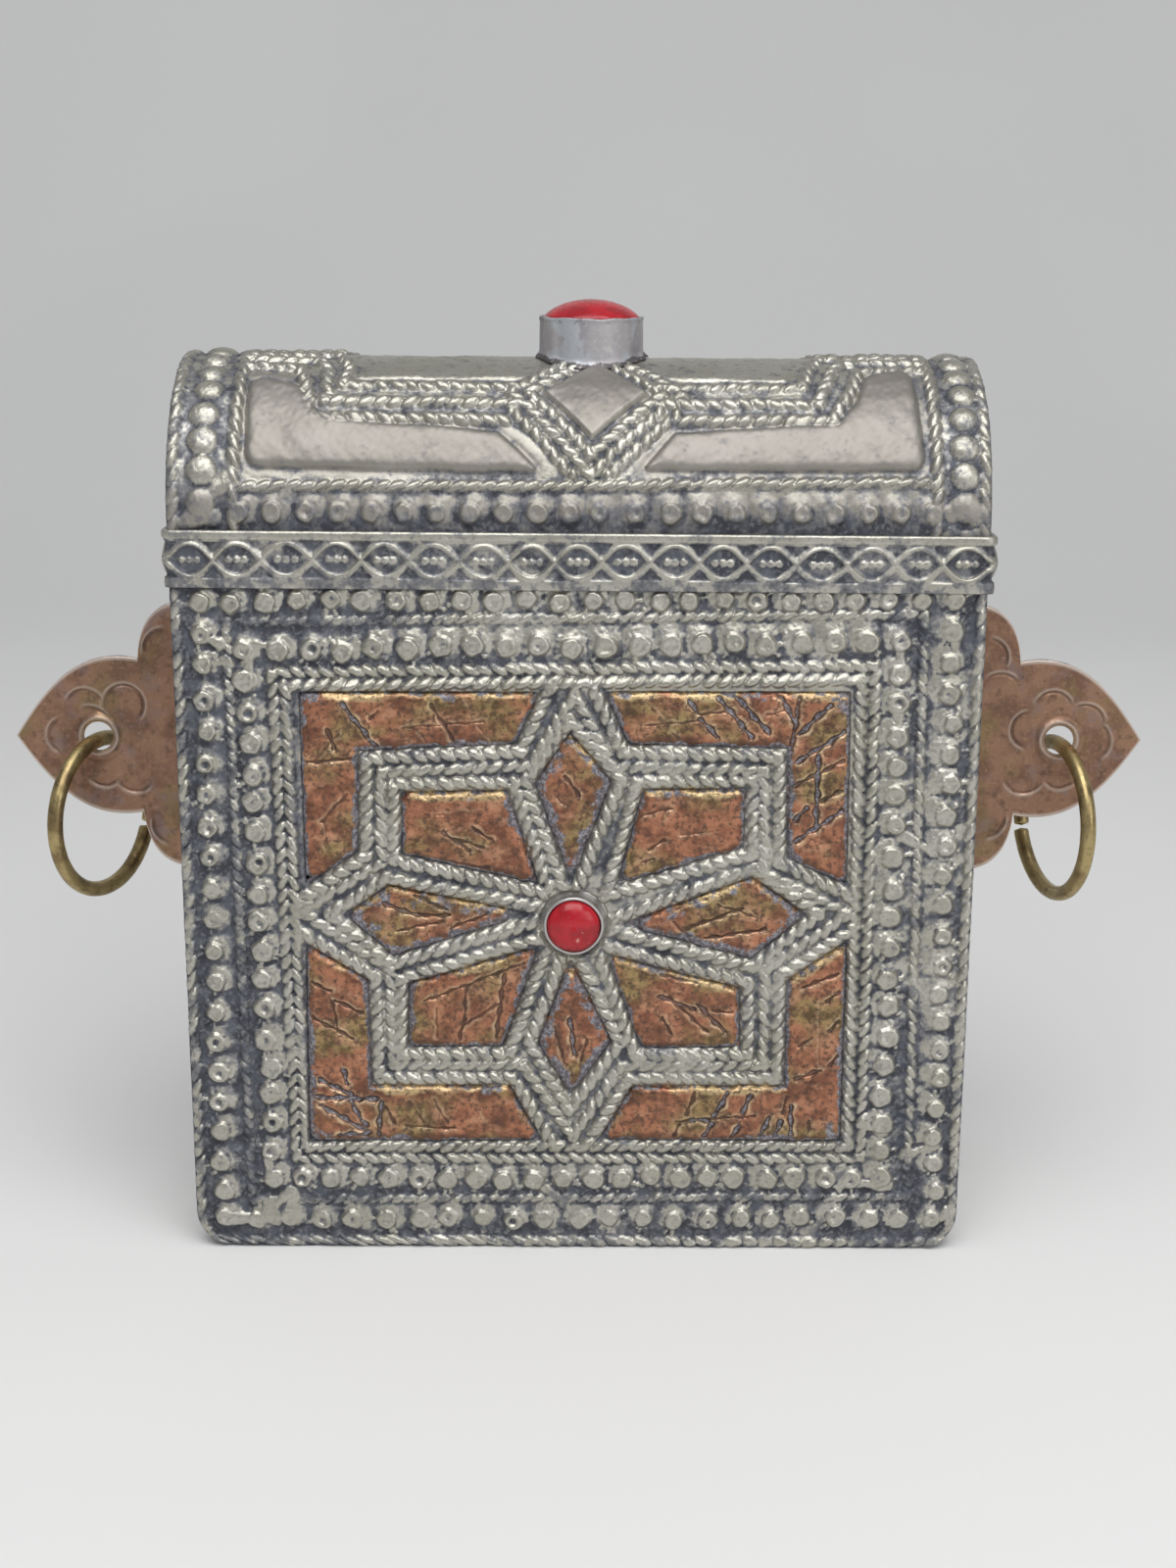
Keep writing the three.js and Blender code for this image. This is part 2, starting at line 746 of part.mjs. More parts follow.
// The top bezel's wall is cut below to sit astride the barrel.
function lidBezel() {
  const radius = lidStoneRadius + seam + bezelWall;
  const saddle = domeRadius - Math.sqrt(domeRadius ** 2 - radius ** 2);
  const profile = bezelProfile(radius, radius, -2 * saddle, lidBezelTop - lidBezelPocket, lidBezelTop);
  const cup = solidOf(turned(profile).translate(lidShift, 0, springZ + domeRadius));
  const barrel = barrelSection(new THREE.Shape(), -seam, false);
  return cup.subtract(solidOf(alongX(barrel, -halfWidth, bodyWidth)));
}

function lidCabochon() {
  const girdle = lidBezelPocket - seam;
  const stone = turned(stoneProfile(lidStoneRadius, girdle, lidStoneRise - girdle));
  const z = springZ + domeRadius + lidBezelTop - lidBezelPocket + seam;
  return stone.translate(lidShift, 0, z);
}

function nickelSilver() {
  return new THREE.MeshStandardMaterial({ color: 0xa9a598, roughness: 0.42, metalness: 0.85 });
}

function smoothNickelSilver() {
  return new THREE.MeshStandardMaterial({ color: 0xb3aca4, roughness: 0.34, metalness: 0.85 });
}

function copper() {
  return new THREE.MeshStandardMaterial({ color: 0x93563c, roughness: 0.5, metalness: 0.7 });
}

function brass() {
  return new THREE.MeshStandardMaterial({ color: 0x9c8544, roughness: 0.38, metalness: 0.9 });
}

function redGlass() {
  return new THREE.MeshStandardMaterial({ color: 0xa81620, roughness: 0.2, metalness: 0 });
}

const box = new THREE.Group();

function add(name, shape, material, parent = box) {
  const geometry = shape.isBufferGeometry ? shape : geometryOf(shape);
  const mesh = new THREE.Mesh(geometry, material);
  material.flatShading = true;
  mesh.name = name;
  parent.add(mesh);
  return mesh;
}

add("front_plate", frontPlate(), nickelSilver());
add("back_plate", backPlate(), smoothNickelSilver());
add("side_wrap", sideWrap(), smoothNickelSilver());
for (const [name, cell] of Object.entries(cells)) {
  add(name, inlay(cell), copper());
}
add("front_bezel", frontBezel(), smoothNickelSilver());
add("front_cabochon", frontCabochon(), redGlass());

// The lugs stand out of the side walls at mid depth. The left one is the right one mirrored.
for (const [sideName, side, turn] of [
  ["left", -1, leftRingTurn],
  ["right", 1, rightRingTurn],
]) {
  const shape = side < 0 ? lug().mirror([1, 0, 0]) : lug();
  add(`lug_${sideName}`, shape, copper()).position.set(side * halfWidth, 0, lugHeightAboveBase);
  // The ring's plane stands across the lug, turned so that its front goes outwards.
  const drop = lugHoleRadius - wireRadius - ringPlay;
  const hoop = add(`ring_${sideName}`, ring(), brass());
  hoop.position.x = side * (halfWidth + lugHoleReach);
  hoop.position.z = lugHeightAboveBase - drop - ringRadius;
  hoop.rotation.z = side * turn * degrees;
}

const lid = new THREE.Group();
box.add(lid);
add("lid_dome", lidDome(), nickelSilver(), lid);
add("lid_end_left", lidEnd(-1), smoothNickelSilver(), lid);
add("lid_end_right", lidEnd(1), smoothNickelSilver(), lid);
add("lid_band", lidBand(), smoothNickelSilver(), lid);
add("lid_bezel", lidBezel(), smoothNickelSilver(), lid);
add("lid_cabochon", lidCabochon(), redGlass(), lid);

export default box;
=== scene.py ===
import math

import bmesh
import bpy
import numpy as np
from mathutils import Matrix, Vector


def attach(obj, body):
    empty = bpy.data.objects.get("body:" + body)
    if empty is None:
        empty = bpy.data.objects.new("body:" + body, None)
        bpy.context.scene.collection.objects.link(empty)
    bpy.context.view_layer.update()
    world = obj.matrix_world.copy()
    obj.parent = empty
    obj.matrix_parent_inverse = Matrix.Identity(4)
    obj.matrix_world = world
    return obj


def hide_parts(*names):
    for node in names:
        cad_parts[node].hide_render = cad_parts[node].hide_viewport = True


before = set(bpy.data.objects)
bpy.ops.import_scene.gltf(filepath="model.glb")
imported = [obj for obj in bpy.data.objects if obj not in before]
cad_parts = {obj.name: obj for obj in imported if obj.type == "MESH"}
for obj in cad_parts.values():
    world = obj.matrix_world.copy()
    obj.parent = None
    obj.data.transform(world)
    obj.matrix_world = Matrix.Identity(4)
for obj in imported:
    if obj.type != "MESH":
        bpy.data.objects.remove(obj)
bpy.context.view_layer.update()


# Front plate. One sheet of nickel silver, hammered up from behind and chased from the front:
# an edge rope, two frames of beads, a thin rope, a double braid and the straps of a star.
# It is shown as four strips of one skin, soldered by its edges to the side strip.
MM = 0.001
half_width = 62.0
casket_height = 112.0
front_y = -23.75
plate_thickness = 1.0
corner_radius = 6.0
star_x, star_z = -0.6, 55.8
seat_radius = 5.0
full_turn = 6.283


def waves(u, v, length, seed, count=14):
    """Cosine waves about one length long, in random directions, added to run from -1 to 1."""
    pick = np.random.default_rng(seed)
    total = np.zeros(np.broadcast(u, v).shape)
    for turn, stretch, start in pick.uniform((0, 0.7, 0), (full_turn, 1.45, full_turn), (count, 3)):
        across = u * np.cos(turn) + v * np.sin(turn)
        total += np.cos(across * full_turn * stretch / length + start)
    return np.clip(total / np.sqrt(1.6 * count), -1, 1)


def smooth(low, high, value):
    """Zero below low, one above high, and an S-shaped curve between."""
    t = np.clip((value - low) / (high - low), 0, 1)
    return t * t * (3 - 2 * t)


def blurred(height, cells):
    """The mean over a square of so many cells each way, taken three times over."""
    for axis in (0, 1) * 3:
        padded = np.pad(height, [(cells + 1, cells) if k == axis else (0, 0) for k in (0, 1)], "edge")
        total = np.cumsum(padded, axis)
        ahead = np.take(total, np.arange(2 * cells + 1, total.shape[axis]), axis)
        behind = np.take(total, np.arange(total.shape[axis] - 2 * cells - 1), axis)
        height = (ahead - behind) / (2 * cells + 1)
    return height


def new_sheet(low_u, high_u, low_v, high_v, step):
    """A flat metal sheet as even rows and columns, with no work raised on it yet."""
    u = np.linspace(low_u, high_u, round((high_u - low_u) / step) + 1)
    v = np.linspace(low_v, high_v, round((high_v - low_v) / step) + 1)
    grid_u, grid_v = np.meshgrid(u, v)
    return {"u": u, "v": v, "U": grid_u, "V": grid_v, "work": np.zeros_like(grid_u), "step": step}


def window(sheet, points, reach):
    """The rows and columns of a sheet that lie within reach of some points."""
    low, high = np.min(points, 0) - reach, np.max(points, 0) + reach
    i = np.searchsorted(sheet["v"], [low[1], high[1]])
    j = np.searchsorted(sheet["u"], [low[0], high[0]])
    return np.s_[i[0] : i[1], j[0] : j[1]]


def raise_rope(sheet, path, width, height, pitch, slant, seed=0, groove=0.8):
    """A chased rope along a path: a low round back, and on it one leaf for each pitch. A leaf is
    half an ellipsoid: across the rope, and along it leaning over by slant."""
    pick = np.random.default_rng(seed + len(path))
    vary, sway, size = pick.uniform((0.8, -0.08, 0.48), (1.1, 0.08, 0.6), (97, 3)).T
    start = 0.0
    for a, b in zip(np.array(path[:-1], float), np.array(path[1:], float)):
        length = np.hypot(*(b - a))
        along = (b - a) / length
        part = window(sheet, [a, b], width / 2)
        u, v = sheet["U"][part] - a[0], sheet["V"][part] - a[1]
        s = u * along[0] + v * along[1]
        d = v * along[0] - u * along[1] + 0.12 * waves(u + a[0], v + a[1], 7, seed + 5, 6)
        past = s - np.clip(s, 0, length)
        ratio = (d * d + past * past) / (width / 2) ** 2
        back = np.sqrt(np.clip(1 - ratio, 0, 1))
        phase = (start + s) / pitch + slant * d / width + 0.2 * (d / width) ** 2
        number = np.floor(phase).astype(int) % 97
        aside = phase - np.floor(phase) - 0.5 + sway[number]
        leaf = np.sqrt(np.clip(1 - (aside / size[number]) ** 2 - ratio, 0, 1))
        top = height * ((1 - groove) * back + groove * leaf) * vary[number]
        sheet["work"][part] = np.maximum(sheet["work"][part], top)
        start += length


def raise_bead(sheet, centre, radius, height, pick, pitted):
    """A punched bead: the ground rises to it as a skirt, wider towards the middle of the sheet,
    then a blunt cone with a wobbling edge and a dished, pitted or tilted top."""
    size = radius * pick.uniform(0.93, 1.07)
    flat = size * pick.uniform(0.52, 0.66)
    dish, pit = pick.choice([0.05, 0.14, 0.2]), pick.choice([0, 0.3, 0.7]) * (pick.uniform() < pitted)
    tilt = pick.uniform(-0.1, 0.1, 2)
    lobes, phase = pick.integers(2, 6), pick.uniform(0, full_turn)
    part = window(sheet, [centre], size * 2.2)
    u, v = sheet["U"][part] - centre[0], sheet["V"][part] - centre[1]
    r = np.hypot(u, v) * (1 + 0.05 * np.sin(lobes * np.arctan2(v, u) + phase))
    beside = np.hypot(u + 0.4 * size * np.clip(centre[0] / 30, -1, 1), v - 0.28 * size)
    skirt = 0.5 * height * np.clip((1.62 * size - beside) / (0.9 * size), 0, 1) ** 1.3
    cone = np.clip((size - r) / (size - flat), 0, 1)
    top = height * np.sin(cone * np.pi / 2) ** 0.85 * pick.uniform(0.85, 1.05)
    from_pit = (u - tilt[0] * 3) ** 2 + (v - tilt[1] * 3) ** 2
    top *= 1 - dish * smooth(flat, 0.2 * flat, r) - pit * np.exp(-(from_pit / 0.3))
    top += (u * tilt[0] + v * tilt[1]) * (cone > 0.5)
    sheet["work"][part] = np.maximum(sheet["work"][part], np.maximum(skirt, top * (cone > 0)))


def raise_blob(sheet, a, b, width, height):
    """A solder bridge from a to b: a low round-backed bar that thins in the middle."""
    a, b = np.array(a, float), np.array(b, float)
    part = window(sheet, [a, b], width)
    length = np.hypot(*(b - a)) + 1e-6
    along = (b - a) / length
    u, v = sheet["U"][part] - a[0], sheet["V"][part] - a[1]
    s = np.clip(u * along[0] + v * along[1], 0, length)
    gap = np.hypot(u - s * along[0], v - s * along[1])
    wide = width * (0.62 + 0.38 * np.abs(2 * s / length - 1)) * (1 + 0.15 * waves(u, v, 2.2, 3, 6))
    top = height * np.sqrt(np.clip(1 - (gap / wide) ** 2, 0, 1))
    sheet["work"][part] = np.maximum(sheet["work"][part], top)


def inside_distance(u, v, outline):
    """Distance to the nearest side of an outline, above zero inside it and below zero outside."""
    best = np.full(np.broadcast(u, v).shape, 1e9)
    odd = np.zeros(best.shape, bool)
    for (au, av), (bu, bv) in zip(outline, np.roll(outline, -1, 0)):
        du, dv = bu - au, bv - av
        along = np.clip(((u - au) * du + (v - av) * dv) / (du**2 + dv**2), 0, 1)
        best = np.minimum(best, np.hypot(u - au - along * du, v - av - along * dv))
        if dv:
            odd ^= ((av > v) != (bv > v)) & (u < au + du * (v - av) / dv)
    return np.where(odd, best, -best)


def grown(outline, distance):
    """An outline moved outwards, each corner to where its two moved sides cross."""
    p = np.array(outline, float)
    side = np.roll(p, -1, 0) - p
    side /= np.hypot(side[:, 0], side[:, 1])[:, None]
    area = np.sum(p[:, 0] * np.roll(p[:, 1], -1) - p[:, 1] * np.roll(p[:, 0], -1))
    out = np.stack([side[:, 1], -side[:, 0]], 1) * np.sign(area)
    before = np.roll(out, 1, 0)
    return p + distance * (out + before) / (1 + np.sum(out * before, 1))[:, None]


# The star's twelve cells, each by its corners across and up the plate, as chased by hand.
cells = {
    "inlay_corner_top_left": [
        (-42.5, 92.4), (-6.5, 92.5), (-9.8, 85.0), (-34.3, 83.8), (-34.5, 67.6), (-42.3, 62.3),
    ],
    "inlay_corner_top_right": [
        (41.4, 92.7), (4.4, 92.6), (7.9, 85.0), (32.6, 84.4), (33.0, 66.8), (41.8, 62.6),
    ],
    "inlay_corner_bottom_left": [
        (-42.9, 19.0), (-6.2, 19.2), (-11.0, 28.1), (-33.2, 28.0), (-33.5, 46.0), (-42.5, 51.6),
    ],
    "inlay_corner_bottom_right": [
        (42.2, 19.3), (4.0, 19.4), (9.2, 28.0), (33.6, 28.3), (33.5, 46.2), (42.2, 52.4),
    ],
    "inlay_kite_top": [(-1.1, 62.8), (4.9, 78.8), (-1.2, 86.0), (-6.3, 78.4)],
    "inlay_kite_bottom": [(-1.1, 49.2), (5.1, 36.0), (-1.1, 27.2), (-5.9, 35.8)],
    "inlay_kite_left": [(-8.0, 57.2), (-29.5, 61.5), (-36.2, 57.0), (-28.9, 50.6)],
    "inlay_kite_right": [(7.6, 55.6), (27.3, 50.3), (35.4, 57.4), (27.3, 63.0)],
    "inlay_quad_top_left": [(-6.6, 62.6), (-11.2, 77.0), (-27.0, 76.6), (-27.2, 67.2)],
    "inlay_quad_top_right": [(6.6, 62.6), (25.6, 68.4), (25.5, 77.4), (10.4, 77.2)],
    "inlay_quad_bottom_left": [(-6.6, 51.4), (-26.4, 45.4), (-26.6, 35.2), (-12.0, 35.4)],
    "inlay_quad_bottom_right": [(5.0, 50.2), (10.4, 35.2), (25.6, 35.4), (25.4, 44.8)],
}

front = new_sheet(-half_width, half_width, 0, casket_height, 0.2)
U, V = front["U"], front["V"]

# Frames of the border, by their corners: bottom left, bottom right, top right, top left.
edge_rope = [(-61.1, 112), (-61.1, 1.1), (61.1, 1.1), (61.1, 112)]
outer_beads = [(-57.4, 5.0), (58.0, 5.5), (56.9, 107.4), (-57.5, 106.7)]
thin_rope = [(-52.8, 8.2), (53.7, 9.2), (52.6, 105.1), (-53.5, 103.4)]
inner_beads = [(-49.0, 12.0), (49.4, 12.5), (49.1, 101.0), (-50.9, 99.1)]
outer_braid = [(-45.3, 15.5), (45.9, 15.9), (45.4, 97.1), (-46.8, 95.7)]
inner_braid = [(-43.9, 17.5), (43.9, 18.0), (43.4, 95.1), (-44.9, 93.8)]
for path, width, height, pitch, slant, seed in (
    (edge_rope, 2.0, 0.85, 2.6, 0.75, 1),
    (thin_rope + thin_rope[:1], 1.75, 0.7, 1.9, -0.7, 2),
    (outer_braid + outer_braid[:1], 2.1, 0.95, 2.2, 0.75, 3),
    (inner_braid + inner_braid[:1], 2.2, 0.97, 2.2, -0.75, 4),
):
    raise_rope(front, path, width, height, pitch, slant, seed)

# Beads at even places along each side of a frame, a little off line, with crumbs of solder.
bead_height = 1.15
pick = np.random.default_rng(11)
for corners, counts, radius in ((outer_beads, (22, 21, 23, 20), 1.85), (inner_beads, (21, 18, 20, 18), 2.0)):
    for (a, b), count in zip(zip(corners, corners[1:] + corners[:1]), counts):
        for share in np.arange(count) / count:
            spot = np.array(a) * (1 - share) + np.array(b) * share + pick.normal(0, 0.2, 2)
            raise_bead(front, spot, radius, bead_height, pick, 0.55 if spot[0] < -40 else 0.16)
            for turn, away, size in pick.uniform((0, 1.12, 0.3), (full_turn, 1.5, 0.62), (4, 3)):
                crumb = spot + radius * away * np.array([np.cos(turn), np.sin(turn)])
                raise_blob(front, spot + 0.8 * (crumb - spot), crumb, size, size * pick.uniform(0.6, 1.1))

# Solder that ran between beads and ropes, mostly in the corners.
bridges = [
    ((-50.4, 99.6), (-50.2, 94.6), 1.5, 0.95), ((-50.4, 100.2), (-45.6, 99.8), 1.1, 0.75),
    ((-57.4, 101.4), (-54.6, 100.2), 1.3, 0.9), ((-57.6, 96.4), (-53.8, 97.6), 1.0, 0.6),
    ((-57.2, 5.0), (-49.4, 5.2), 1.7, 0.95), ((-50.2, 6.5), (-46.4, 9.6), 1.3, 0.8),
    ((-49.6, 11.6), (-49.8, 15.6), 1.2, 0.7), ((49.0, 101.0), (49.2, 96.4), 1.3, 0.8),
    ((57.4, 103.0), (57.6, 98.0), 1.4, 0.6), ((49.2, 90.8), (49.3, 86.0), 1.3, 0.65),
    ((50.0, 11.4), (43.4, 11.9), 1.5, 0.85), ((53.2, 16.5), (57.8, 18.2), 1.2, 0.7),
    ((57.8, 4.8), (60.4, 6.2), 1.5, 0.8), ((46.0, 22.0), (49.4, 20.6), 1.2, 0.75),
    ((-6.0, 11.0), (-2.0, 8.0), 1.1, 0.55), ((50.6, 70.0), (57.0, 67.0), 1.2, 0.45),
]
for bridge in bridges:
    raise_blob(front, *bridge)

# The straps: a rope round every cell, and one more along the middle of the square strap.
strap_rope = 2.3, 0.95, 2.2
for number, (name, outline) in enumerate(cells.items()):
    around = [tuple(p) for p in grown(outline, 1.62)]
    if "corner" in name:
        raise_rope(front, around[1:], *strap_rope, 0.7, 20 + number)
        midway = grown(outline, 3.85)[2:5]
        apex_top = (star_x, 92.6 if "top" in name else 19.6)
        apex_side = (-43.4 if "left" in name else 42.6, 57.5)
        middle_rope = [apex_top, *map(tuple, midway), apex_side]
        raise_rope(front, middle_rope, 2.15, 0.84, 2.2, -0.7, 40 + number)
    else:
        slant = -0.7 if "kite" in name else 0.7
        raise_rope(front, [*around, around[0]], *strap_rope, slant, 60 + number)

cell = np.full(U.shape, -99.0)
for outline in cells.values():
    part = window(front, outline, 6)
    cell[part] = np.maximum(cell[part], inside_distance(U[part], V[part], outline))
in_field = smooth(-1, 1, inside_distance(U, V, np.array(inner_braid)))
off_seat = smooth(seat_radius, seat_radius + 0.8, np.hypot(U - star_x, V - star_z))
front["work"] *= smooth(0.1, -0.5, cell) * off_seat

# The sheet stands up under the straps, rolls over at its sides and lies flat behind the lid's band.
ground = 0.5 * in_field * smooth(0.0, -0.55, cell) * off_seat
ground += 0.10 * waves(U, V, 16, 7) + 0.05 * waves(U, V, 4.2, 8) + 0.05 * waves(U, V, 1.5, 9)
roll = np.maximum(np.abs(U) - 61.2, 0) / 0.8
height = ground + front["work"] - 0.45 * roll**2
height += 0.035 * waves(U, V, 1.1, 14) * smooth(0.1, 0.4, front["work"])
height *= 1 - smooth(108.9, 109.4, V)
height = np.clip(height, -0.3, 1.5)

# In a few places the chasing is worn down or was never crisp.
wear = smooth(0.25, 0.8, waves(U, V, 24, 13)) * 0.45
height = height * (1 - wear) + blurred(height, 2) * wear

# Slate-blue patina lies in the hollows, most of it down the left side and along the foot.
cells_per_mm = 1 / front["step"]
halo = blurred(front["work"], round(0.7 * cells_per_mm))
hollow = blurred(height, round(1.0 * cells_per_mm)) - height
groove = blurred(height, round(0.45 * cells_per_mm)) - height
left_side = smooth(-36, -46, U)
top_ends = smooth(94, 98, V) * (smooth(-16, -32, U) + smooth(40, 48, U))
foot_side = smooth(18, 9, V)
low_right = smooth(40, 46, U) * smooth(46, 30, V)
stained = 0.18 + 0.7 * left_side + 0.62 * top_ends + 0.42 * foot_side + 0.4 * low_right
stained = np.clip(stained + 0.3 * waves(U, V, 13, 12) + 0.16 * waves(U, V, 5, 15), 0, 1)
patina = stained * smooth(0.6, 0.15, halo) + 0.75 * smooth(0.08, 0.42, hollow) * (0.35 + 0.65 * stained)
# The thin dark lines in the finest grooves, round leaves and beads, are patina and painted shade.
patina = patina + 0.75 * smooth(0.04, 0.16, groove) * (0.5 + 0.5 * stained)
patina = np.clip(patina * (1 - 0.2 * in_field), 0, 1)


def grid_normals(points):
    """Unit normals of a grid of points: the cross product of its slopes along and up."""
    normal = np.cross(np.gradient(points, axis=1), np.gradient(points, axis=0))
    return normal / np.linalg.norm(normal, axis=2, keepdims=True)


def grid_faces(index, flipped=False):
    """Four-sided faces between the neighbours in a grid of numbered points. Flipped ones start
    at the same corner and go round the other way, so they face the other way."""
    corners = index[:-1, :-1], index[:-1, 1:], index[1:, 1:], index[1:, :-1]
    faces = np.stack([c.ravel() for c in corners], 1)
    return faces[:, [0, 3, 2, 1]] if flipped else faces


def paint(obj, **values):
    """Values at the points of a mesh, each of which its material reads by name."""
    for key, value in values.items():
        layer = obj.data.attributes.new(key, "FLOAT", "POINT")
        layer.data.foreach_set("value", np.ravel(value).astype(np.float32))


def skin(name, points, thickness, into, values, normals=None):
    """A closed sheet: rows and columns of points for the worked face, the same rows with two
    columns, moved in by thickness, for the back, and walls between the two. Strips cut from one
    sheet are given its normals, so that no seam shows between them."""
    rows, columns = points.shape[:2]
    back = (points + thickness * into)[:, [0, -1]]
    index = np.arange(rows * columns).reshape(rows, columns)
    behind = rows * columns + np.arange(rows * 2).reshape(rows, 2)
    walls = np.stack([index[:, 0], behind[:, 0]], 1), np.stack([behind[:, 1], index[:, -1]], 1)
    quads = [grid_faces(index), *(grid_faces(part, flipped=True) for part in (behind, *walls))]
    ends = [
        np.concatenate([index[0, ::-1], behind[0]]),
        np.concatenate([index[-1], behind[-1, ::-1]]),
    ]
    everything = np.concatenate([points.reshape(-1, 3), back.reshape(-1, 3)])
    obj = make_mesh(name, everything, np.concatenate(quads), ends, len(quads[0]))
    paint(obj, **{key: np.concatenate([v.ravel(), v[:, [0, -1]].ravel()]) for key, v in values.items()})
    if normals is not None:
        each_corner = np.zeros((len(obj.data.loops), 3))
        each_corner[: quads[0].size] = normals.reshape(-1, 3)[quads[0].ravel()]
        obj.data.normals_split_custom_set(each_corner)
    return obj


def make_mesh(name, points, quads, ends=(), smooth_count=None):
    """A mesh object at the origin from points in millimetres, four-sided faces and end faces."""
    mesh = bpy.data.meshes.new(name)
    corners = np.concatenate([quads.ravel(), *ends]).astype(np.int32)
    sizes = np.array([4] * len(quads) + [len(e) for e in ends], np.int32)
    mesh.vertices.add(len(points))
    mesh.vertices.foreach_set("co", (np.asarray(points, float) * MM).ravel())
    mesh.loops.add(len(corners))
    mesh.loops.foreach_set("vertex_index", corners)
    mesh.polygons.add(len(sizes))
    mesh.polygons.foreach_set("loop_start", np.cumsum(sizes, dtype=np.int32) - sizes)
    soft = np.arange(len(sizes)) < (len(quads) if smooth_count is None else smooth_count)
    mesh.update(calc_edges=True)
    mesh.polygons.foreach_set("use_smooth", soft)
    mesh.validate()
    obj = bpy.data.objects.new(name, mesh)
    bpy.context.scene.collection.objects.link(obj)
    return obj


class Finish:
    """A material as a short chain of nodes. Each call adds one node and gives back its output."""

    def __init__(self, name):
        self.material = bpy.data.materials.new(name)
        self.material.use_nodes = True
        self.tree = self.material.node_tree
        self.shader = self.tree.nodes["Principled BSDF"]
        self.place = self.node("ShaderNodeTexCoord").outputs["Object"]

    def node(self, kind, **values):
        made = self.tree.nodes.new(kind)
        for key, value in values.items():
            setattr(made, key, value)
        return made

    def link(self, value, socket):
        if isinstance(value, bpy.types.NodeSocket):
            self.tree.links.new(value, socket)
        else:
            socket.default_value = value

    def surface(self, name):
        return self.node("ShaderNodeAttribute", attribute_name=name).outputs["Fac"]

    def noise(self, millimetres, detail=3.0, stretch=(1, 1, 1), rough=0.55):
        mapping = self.node("ShaderNodeMapping")
        mapping.inputs["Scale"].default_value = stretch
        self.link(self.place, mapping.inputs["Vector"])
        made = self.node("ShaderNodeTexNoise")
        made.inputs["Scale"].default_value = 1000 / millimetres
        made.inputs["Detail"].default_value = detail
        made.inputs["Roughness"].default_value = rough
        self.link(mapping.outputs["Vector"], made.inputs["Vector"])
        return made.outputs["Fac"]

    def between(self, value, low, high, out_low=0.0, out_high=1.0):
        made = self.node("ShaderNodeMapRange", interpolation_type="SMOOTHSTEP")
        names = ("Value", "From Min", "From Max", "To Min", "To Max")
        for key, number in zip(names, (value, low, high, out_low, out_high)):
            self.link(number, made.inputs[key])
        return made.outputs["Result"]

    def math(self, kind, a, b, clamp=False):
        made = self.node("ShaderNodeMath", operation=kind, use_clamp=clamp)
        self.link(a, made.inputs[0])
        self.link(b, made.inputs[1])
        return made.outputs[0]

    def mix(self, share, a, b, blend="MIX"):
        made = self.node("ShaderNodeMix", data_type="RGBA", blend_type=blend)
        self.link(share, made.inputs[0])
        self.link(a if isinstance(a, bpy.types.NodeSocket) else (*a, 1), made.inputs[6])
        self.link(b if isinstance(b, bpy.types.NodeSocket) else (*b, 1), made.inputs[7])
        return made.outputs[2]

    def patched(self, body, colour, millimetres, detail, low, high, most=1.0, stretch=(1, 1, 1)):
        """A body colour with another over it wherever a noise rises from low to high."""
        share = self.between(self.noise(millimetres, detail, stretch), low, high, 0, most)
        return self.mix(share, body, colour)

    def shifted(self, value, down, up, millimetres, detail, low, high):
        """A value moved between down and up as a noise rises from low to high."""
        return self.math("ADD", value, self.between(self.noise(millimetres, detail), low, high, down, up))

    def bump(self, value, strength, millimetres, normal=None):
        made = self.node("ShaderNodeBump")
        self.link(strength, made.inputs["Strength"])
        made.inputs["Distance"].default_value = millimetres * MM
        self.link(value, made.inputs["Height"])
        if normal is not None:
            self.link(normal, made.inputs["Normal"])
        return made.outputs["Normal"]

    def end(self, **sockets):
        for key, value in sockets.items():
            name = key.replace("_", " ").title().replace("Ior", "IOR")
            if isinstance(value, tuple):
                value = (*value, 1)
            self.link(value, self.shader.inputs[name])
        return self.material


